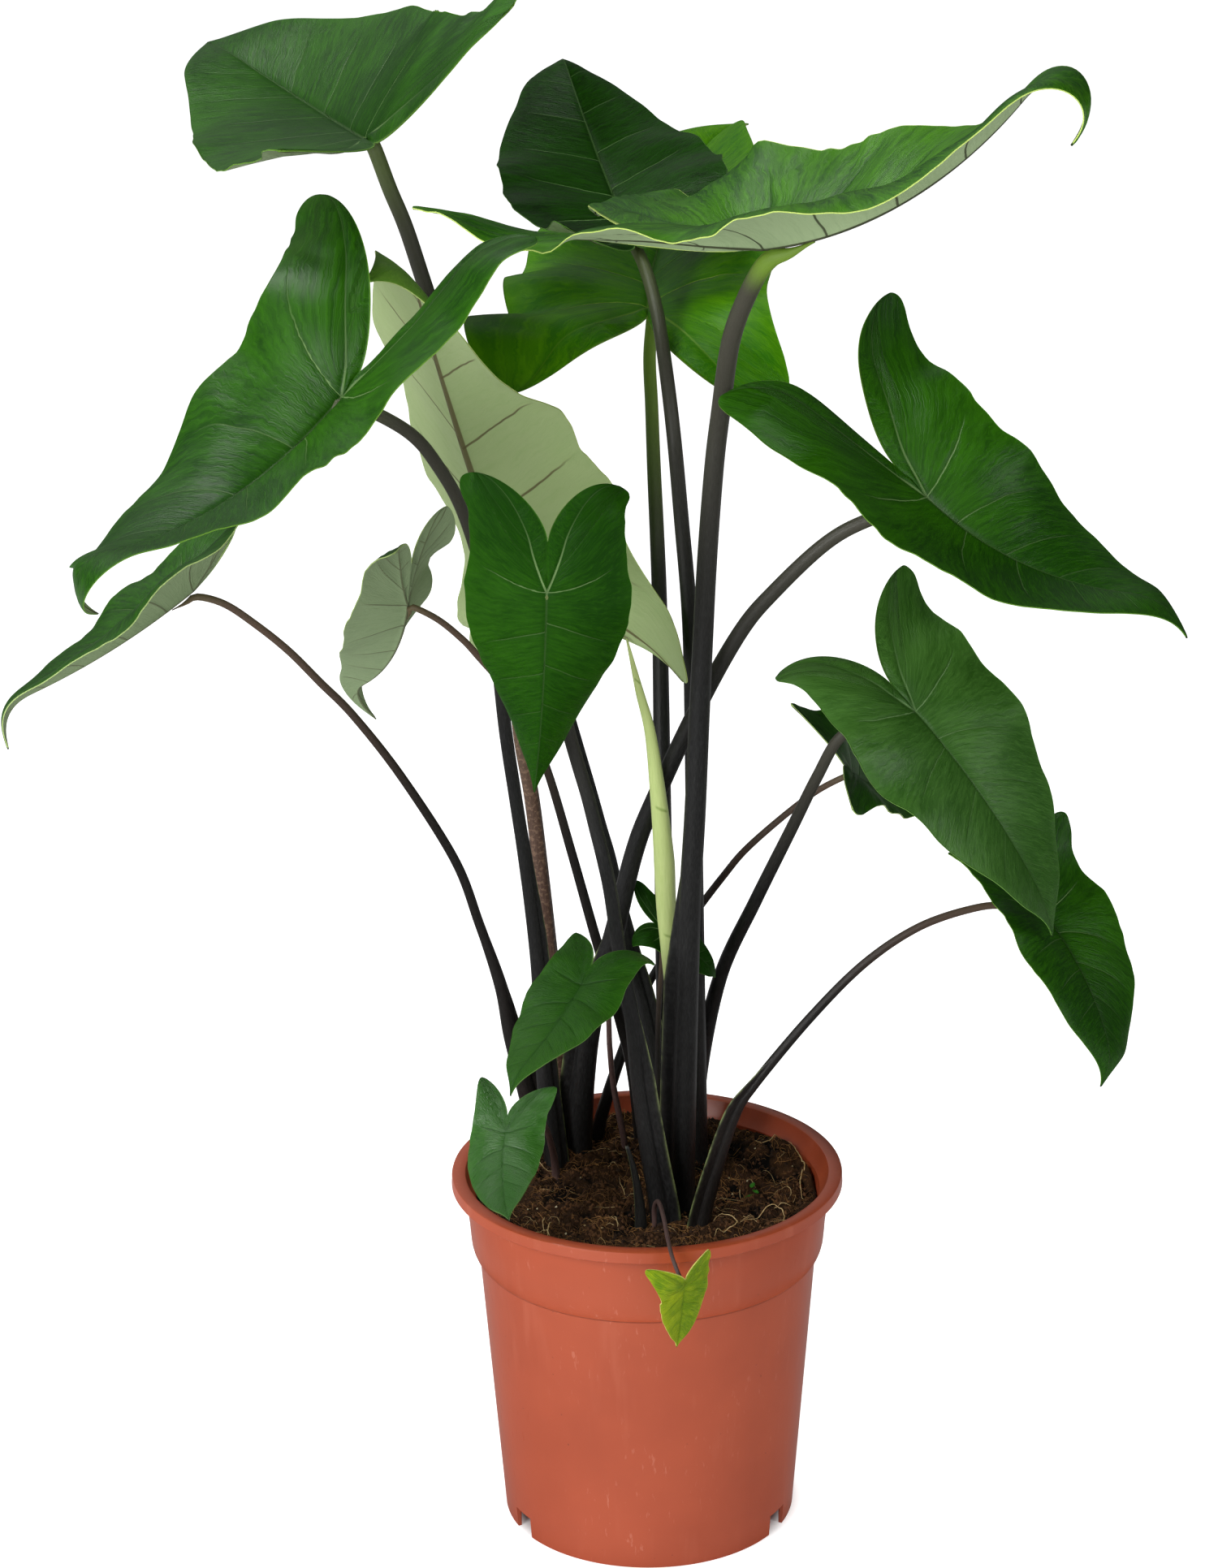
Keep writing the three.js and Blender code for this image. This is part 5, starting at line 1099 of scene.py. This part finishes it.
# %% Pot
# FOOT_CUTS are the directions of the cuts' middles in degrees. A cut is 15 mm wide at the foot's
# radius of 79 mm, and FOOT_CUT_HALF is half of that as an angle. PROFILE is the cross section, as
# pairs of radius and height, from the underside of the floor round the lip to its upper side.
FOOT_CUTS, FOOT_CUT_HEIGHT, FOOT_CUT_HALF = (-30, 90, 210), 12.0, math.degrees(7.5 / 79)
WALL_THICKNESS, FLOOR_TOP = 2, 14.6
body_radius = lambda z: 79.13 + 0.0778 * z
PROFILE = np.array([
    (0, 12), (body_radius(12) - WALL_THICKNESS, 12), (77.1, 0), (77.4, 0), (79.0, 0), (79.2, 0.6),
    *[(body_radius(z), z) for z in (12, 40, 90, 151.6)],
    (91.6, 152.2), (92.6, 153.2), (93.6, 154.8), (94.4, 156.8), (95.0, 159.2), (95.3, 162.0),
    (95.65, 166), (96.0, 171), (96.9, 178), (98.1, 189), (98.6, 191.4), (103.8, 191.8),
    (104.6, 192.1), (105.15, 192.6), (105.15, 193.0), (105, 193.4), (105, 197.2), (104.7, 198.2),
    (103.8, 198.7), (98.6, 198.7), (97.7, 198.3), (97.3, 197.4), (95.4, 192), (92.9, 188.7),
    (92.3, 180), (91.9, 160), (87.6, 149), (body_radius(FLOOR_TOP) - WALL_THICKNESS, FLOOR_TOP),
    (0, FLOOR_TOP)])


def make_pot():
    """The profile turned round the axis, with lifted foot points inside the cuts. At a cut's edge
    two columns share an angle: the plain one stands outside the cut and the lifted one inside."""
    edges = [c + s * FOOT_CUT_HALF for c in FOOT_CUTS for s in (-1, 1)]
    plain = np.arange(-40, 320, 1.5)
    inside = np.any([np.abs(plain - c) < FOOT_CUT_HALF - 1e-6 for c in FOOT_CUTS], 0)
    angle = np.concatenate([plain, edges, edges])
    lifted = np.concatenate([inside, np.zeros(len(edges), bool), np.ones(len(edges), bool)])
    outside_first = np.concatenate([0 * plain, [-1, 1] * len(FOOT_CUTS), [0, 0] * len(FOOT_CUTS)])
    order = np.lexsort((outside_first, angle))
    angle, lifted = np.radians(angle[order]), lifted[order]
    radius = np.repeat(PROFILE[:, :1], len(angle), 1)
    height = np.repeat(PROFILE[:, 1:], len(angle), 1)
    foot = (PROFILE[:, 1] < FOOT_CUT_HEIGHT - 0.5)[:, None] & lifted[None]
    height = np.where(foot, FOOT_CUT_HEIGHT - 0.02, height)
    points = np.stack([radius * np.cos(angle), radius * np.sin(angle), height], -1)
    index = np.arange(height.size).reshape(height.shape)
    index[0, :], index[-1, :] = index[0, 0], index[-1, 0]
    p = points.reshape(-1, 3)
    _, first, group = np.unique(np.round(p, 3), axis=0, return_index=True, return_inverse=True)
    faces = first[group.ravel()[grid_faces(index, True)]]
    piece = add_piece("nursery_pot", p, faces, pot_finish(), "pot")
    piece.data.set_sharp_from_angle(angle=math.radians(32))
    return piece


report(make_pot())

# %% [markdown]
# ## Soil
# Potting soil is dark crumbs of peat and coir with pale root hairs and a few light grains. The
# surface is a round grid whose height is the plain model's gentle hills plus lumps. A lump is half
# a ball on a lattice with jittered places, and the highest of the nearest nine counts, which makes
# rounded lumps with sharp cracks between them, as crumbs have. How high a point stands above the
# cracks is carried on the mesh, and the cracks are darkened with painted shade. Loose crumbs,
# fibres and grains are small separate shapes strewn over it.

# %% Soil height
# SOIL_EDGE is the soil's radius and SOIL_FOOT the height of its underside. CRUMB_REST is how far
# the crumbs are let down, because they lie in the soil and not on top of it.
SOIL_EDGE, SOIL_FOOT, CRUMB_REST = 91.6, 168, 2.6


def soil_height(x, y):
    """The hills, in mm up: a rise to the back, a mound at the right, two waves."""
    mound = 5 * (1 - smooth(np.hypot(x - 70, y - 42) / 26))
    waves = np.sin(x / 9 + 1) * np.cos(y / 8) + 0.7 * np.sin(x / 5 - y / 6)
    return 179 + 9 * smooth((y + 25) / 85) + mound + 1.1 * waves


def lumps(x, y, cell, seed):
    """Round lumps on a jittered lattice: the highest of the nine half balls near each place."""
    table = np.random.default_rng(seed).random((LATTICE, LATTICE, 3))
    i, j, best = np.floor(x / cell).astype(int), np.floor(y / cell).astype(int), 0 * x
    for a in (-1, 0, 1):
        for b in (-1, 0, 1):
            spot = table[(i + a) % LATTICE, (j + b) % LATTICE]
            size = cell * (0.45 + 0.4 * spot[..., 2])
            off = np.hypot(x - (i + a + spot[..., 0]) * cell, y - (j + b + spot[..., 1]) * cell)
            best = np.maximum(best, size * np.sqrt(np.clip(1 - (off / size) ** 2, 0, 1)))
    return best


def crumbs(x, y):
    """How far the crumbs stand above the hills, in mm, and below 0 in the cracks: lumps in three
    sizes pushed about by noise, on low hills of their own, with fine grain on top, less
    CRUMB_REST."""
    push = 1.6 * value_noise(x, y, 3.1, 11), 1.6 * value_noise(x, y, 3.7, 12)
    x, y = x + push[0], y + push[1]
    coarse = 0.42 * lumps(x, y, 9.5, 5) + 0.45 * lumps(x, y, 4.3, 6) + 0.4 * lumps(x, y, 2.1, 7)
    hills = 1.6 * value_noise(x, y, 15, 13) + 1.2 * value_noise(x, y, 8, 14)
    return coarse + hills + 0.3 * value_noise(x, y, 1.0, 8) - CRUMB_REST


def ground(x, y):
    """The soil's height at (x, y), in mm, crumbs and all."""
    return soil_height(x, y) + crumbs(x, y)


# %% Soil finish and filling
def soil_finish():
    """Brown on the crests, with tan threads and fine grain, and painted shade darkening the cracks.
    """
    f = Finish("peat_soil", Specular_IOR_Level=0.15)
    patches = f.noise(f.place(), 60, 4, 0.6)
    grain = f.noise(f.place(), 620, 4, 0.65)
    thread = f.noise(f.place((1, 3.5, 1)), 240, 3, 0.7)
    other = f.noise(f.place((3.5, 1, 1)), 240, 3, 0.7)
    lit = f.ramp(patches, 0.4, 0.7) * 0.45 + grain * 0.45
    colour = f.mix(rgb(32, 20, 12), rgb(84, 56, 33), lit)
    colour = f.mix(colour, rgb(150, 108, 64), f.ramp(thread, 0.6, 0.7) * 0.5)
    colour = f.mix(colour, rgb(150, 108, 64), f.ramp(other, 0.6, 0.7) * 0.5)
    # Painted shade: the cracks between the crumbs are mixed towards near black.
    colour = f.mix(rgb(9, 6, 4), colour, f.ramp(f.mark("crest"), 0.2, 0.72))
    return f.done(colour, 0.85 + grain * 0.1, grain + thread * 0.6 + other * 0.6, 1.2)


rings, spokes = 150, 420
radius, angle = np.linspace(0, SOIL_EDGE, rings)[:, None], round_angles(spokes)
x, y = radius * np.cos(angle), radius * np.sin(angle)
rise = crumbs(x, y)
z = soil_height(x, y) + rise * smooth((SOIL_EDGE + 0.2 - radius) / 2)
top = np.stack([x, y, z], -1).reshape(-1, 3)
skirt = np.stack([x[-1], y[-1], 0 * x[-1] + SOIL_FOOT], -1)
index = np.arange(x.size).reshape(x.shape)
index[0, :] = 0
low = np.arange(spokes)[None] + x.size
foot = 0 * low + x.size + spokes
side = np.vstack([index[-1:], low, foot])
faces = np.concatenate([grid_faces(index, True), grid_faces(side, True)])
points = np.vstack([top, skirt, [[0, 0, SOIL_FOOT]]])
crest = np.append((rise.ravel() + CRUMB_REST) / (2 * CRUMB_REST), np.ones(spokes + 1))
report(add_piece("soil_surface", points, faces, soil_finish(), "soil", {"crest": crest}))

# %% [markdown]
# Fibres are short bent threads with three sides and thirty-two faces each. They are all worked
# out at once: a random start and heading for each, a random bend, and a small arch above the soil.

# %% Loose shapes
rng = np.random.default_rng(21)
SCATTER_EDGE, FIBRE_EDGE = 88.0, 90


def scatter(count):
    """Random places on the soil, evenly spread over the disc."""
    r, a = SCATTER_EDGE * np.sqrt(rng.random(count)), FULL_TURN * rng.random(count)
    return r * np.cos(a), r * np.sin(a)


def copied(shape, size, count):
    """The faces of one shape with size points, count times over, each on its own points."""
    return (shape[None] + size * np.arange(count)[:, None, None]).reshape(-1, 3)


def make_fibres(name, count, length, thickness, lift, material):
    """count threads of 6 rings with 3 points each, curved in plan and arched above the soil. One
    that would pass FIBRE_EDGE is pushed back to it."""
    rings = 6
    x, y = scatter(count)
    heading, bend = FULL_TURN * rng.random(count), rng.normal(0, 1.7, count)
    size = length * (0.4 + 0.9 * rng.random(count))
    s = np.linspace(0, 1, rings)
    angle = heading[:, None] + bend[:, None] * s
    px = x[:, None] + np.cumsum(np.cos(angle), 1) * size[:, None] / rings
    py = y[:, None] + np.cumsum(np.sin(angle), 1) * size[:, None] / rings
    far = np.maximum(1, np.hypot(px, py) / FIBRE_EDGE)
    px, py = px / far, py / far
    arch = lift * rng.random((count, 1)) * np.sin(np.pi * s)
    centre = np.stack([px, py, ground(px, py) + 0.3 + arch], -1)
    side = np.stack([-np.sin(angle), np.cos(angle), 0 * angle], -1)
    up = np.array([0, 0, 1.0])
    width = thickness * (0.6 + 0.8 * rng.random((count, 1))) * (1 - 0.7 * s)
    around = [side * 0.9 - 0.5 * up, -side * 0.9 - 0.5 * up, 0 * side + up]
    points = np.stack([centre + width[..., None] * a for a in around], 2).reshape(-1, 3)
    one = np.arange(3 * rings).reshape(rings, 3)
    shape = np.concatenate([grid_faces(one, True), [one[0, ::-1]], [one[-1]]])
    return add_piece(name, points, copied(shape, one.size, count), material)


def make_grains(name, count, size, material):
    """count eight-sided grains, each stretched and turned at random."""
    x, y = scatter(count)
    corners = np.array([(1, 0, 0), (0, 1, 0), (-1, 0, 0), (0, -1, 0), (0, 0, 1), (0, 0, -1.0)])
    turn = FULL_TURN * rng.random(count)
    spin = np.array([[np.cos(turn), -np.sin(turn)], [np.sin(turn), np.cos(turn)]])
    shape = corners[None] * (size * (0.4 + rng.random((count, 6, 1))))
    shape[..., :2] = np.einsum("ijn,nkj->nki", spin, shape[..., :2])
    points = (np.stack([x, y, ground(x, y) + 0.2], -1)[:, None] + shape).reshape(-1, 3)
    one = np.array([(0, 1, 4), (1, 2, 4), (2, 3, 4), (3, 0, 4),
                    (1, 0, 5), (2, 1, 5), (3, 2, 5), (0, 3, 5)])
    return add_piece(name, points, copied(one, len(corners), count), material)


# %% Fibres, crumbs and grains
def plain_finish(name, first, last, roughness, scale=400.0):
    """Two tones mixed by fine noise."""
    f = Finish(name, Specular_IOR_Level=0.3, Roughness=roughness)
    return f.done(f.mix(first, last, f.ramp(f.noise(f.place(), scale, 2), 0.35, 0.65)))


pale_fibre = plain_finish("pale_root_fibre", rgb(178, 146, 98), rgb(214, 188, 136), 0.6)
dark_fibre = plain_finish("brown_coir_fibre", rgb(78, 50, 28), rgb(160, 116, 66), 0.7, 60.0)
grain = plain_finish("pale_grain", rgb(170, 150, 110), rgb(214, 202, 168), 0.7)
crumb = plain_finish("dark_crumb", rgb(40, 25, 15), rgb(96, 64, 38), 0.9, 90.0)
for piece in (make_fibres("root_fibres", 90, 15, 0.2, 3.5, pale_fibre),
              make_fibres("coir_fibres", 1500, 11, 0.17, 2.4, dark_fibre),
              make_grains("soil_grains", 40, 0.8, grain),
              make_grains("soil_crumbs", 2200, 1.3, crumb)):
    report(piece)

# %% [markdown]
# A few long pale roots lie on the soil in loops where the picture shows them, and a seedling with
# three tiny leaves has come up at the right. Each root is a thin tube along a smooth line through
# a handful of places, and each seedling leaf is a flattened ball.

# %% Long roots
ROOTS = [[(35, -33), (38, -28), (43, -28), (48, -32), (45, -40), (37, -44), (35, -52)],
         [(51, -27), (57, -23), (65, -16), (71, -16), (73, -23), (72, -34), (68, -40)],
         [(84, -4), (83, 10), (86, 22), (82, 36), (78, 44)], [(60, 52), (66, 44), (72, 47)],
         [(-61, -43), (-58, -41), (-55, -43), (-52, -50)], [(-55, -23), (-56, -33), (-55, -42)],
         [(-51, -32), (-53, -42), (-53, -50)]]


def add_together(name, parts, material):
    """Puts several shapes, each a pair of points and faces, into one piece on the soil."""
    points, faces = zip(*parts)
    firsts = np.cumsum([0] + [len(one) for one in points])
    faces = np.concatenate([one + first for one, first in zip(faces, firsts)])
    return add_piece(name, np.concatenate(points), faces, material)


parts = []
for number, root in enumerate(ROOTS):
    x, y = np.array(root, float).T
    line, at = even_curve(np.stack([x, y, 0 * x], -1), 1.5)
    rise = 1.2 + 1.4 * np.sin(np.pi * at / at[-1]) + 0.5 * np.sin(at / 3 + number)
    line[:, 2] = ground(*line.T[:2]) + rise
    width = 0.28 * np.sin(np.pi * np.clip(at / at[-1], 0.08, 0.92)) ** 0.5
    parts.append(tube(line, np.repeat(width[:, None], 6, 1), round_angles(6)))
report(add_together("long_roots", parts, pale_fibre))

# %% Seedling
SEEDLING_LEAF, SEEDLINGS = (2.2, 1.4, 0.3), ((55.0, -0.5, 0.4), (58.6, 1.4, 2.3), (57.0, 4.2, 1.2))
around, up = round_angles(14), np.linspace(-1, 1, 9)[1:-1, None] * np.pi / 2
ball = [np.cos(up) * np.cos(around), np.cos(up) * np.sin(around), np.sin(up) + 0 * around]
ball = np.vstack([np.stack(ball, -1).reshape(-1, 3), [(0, 0, -1), (0, 0, 1)]])
ball_faces = closed_faces(np.arange(up.size * around.size).reshape(up.size, around.size))
seedling_green = plain_finish("seedling_green", rgb(34, 96, 14), rgb(58, 130, 30), 0.45)
parts = []
for x, y, turn in SEEDLINGS:
    tilted = np.array([(math.cos(turn), math.sin(turn), 0.25),
                       (-math.sin(turn), math.cos(turn), 0), (0, 0, 1)])
    base = [x, y, ground(np.array(x), np.array(y)) + 1.6]
    parts.append((ball * SEEDLING_LEAF @ tilted + base, ball_faces))
report(add_together("seedling", parts, seedling_green))

# %% [markdown]
# ## Floor
# The plant stands on a plain pale floor that isn't part of it.

# %% Floor and overall size
def floor_finish():
    """Almost white, and lit from below, as a light table is: less near the pot, more far off,
    where no lamp reaches, and not at all right under the pot."""
    f = Finish("pale_floor", Specular_IOR_Level=0.1, Roughness=0.9, Emission_Strength=1.0)
    centre = f.node("ShaderNodeMapping", {}, {"Vector": f.node("ShaderNodeTexCoord", out="Object"),
                                              "Location": tuple(-POT_AXIS * MM)})
    far = f.node("ShaderNodeVectorMath", {"operation": "LENGTH"}, {0: centre}, "Value")
    glow = f.ramp(far, 0.07, 0.085) * (0.88 + f.ramp(far, 0.3, 2.0) * 0.12)
    f.tree.links.new(f.join(glow, glow, glow).socket, f.shader.inputs["Emission Color"])
    return f.done(f.mix(rgb(228, 228, 228), rgb(224, 224, 224), f.noise(f.place(), 3)))


mesh = bpy.data.meshes.new("floor")
mesh.from_pydata([(-9, -9, 0), (9, -9, 0), (9, 20, 0), (-9, 20, 0)], [], [(0, 1, 2, 3)])
mesh.materials.append(floor_finish())
floor = put("floor", mesh)
floor.visible_glossy = False
floor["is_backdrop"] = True

low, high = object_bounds()
print("dressed model:", [round(b - a, 4) for a, b in zip(low, high)])
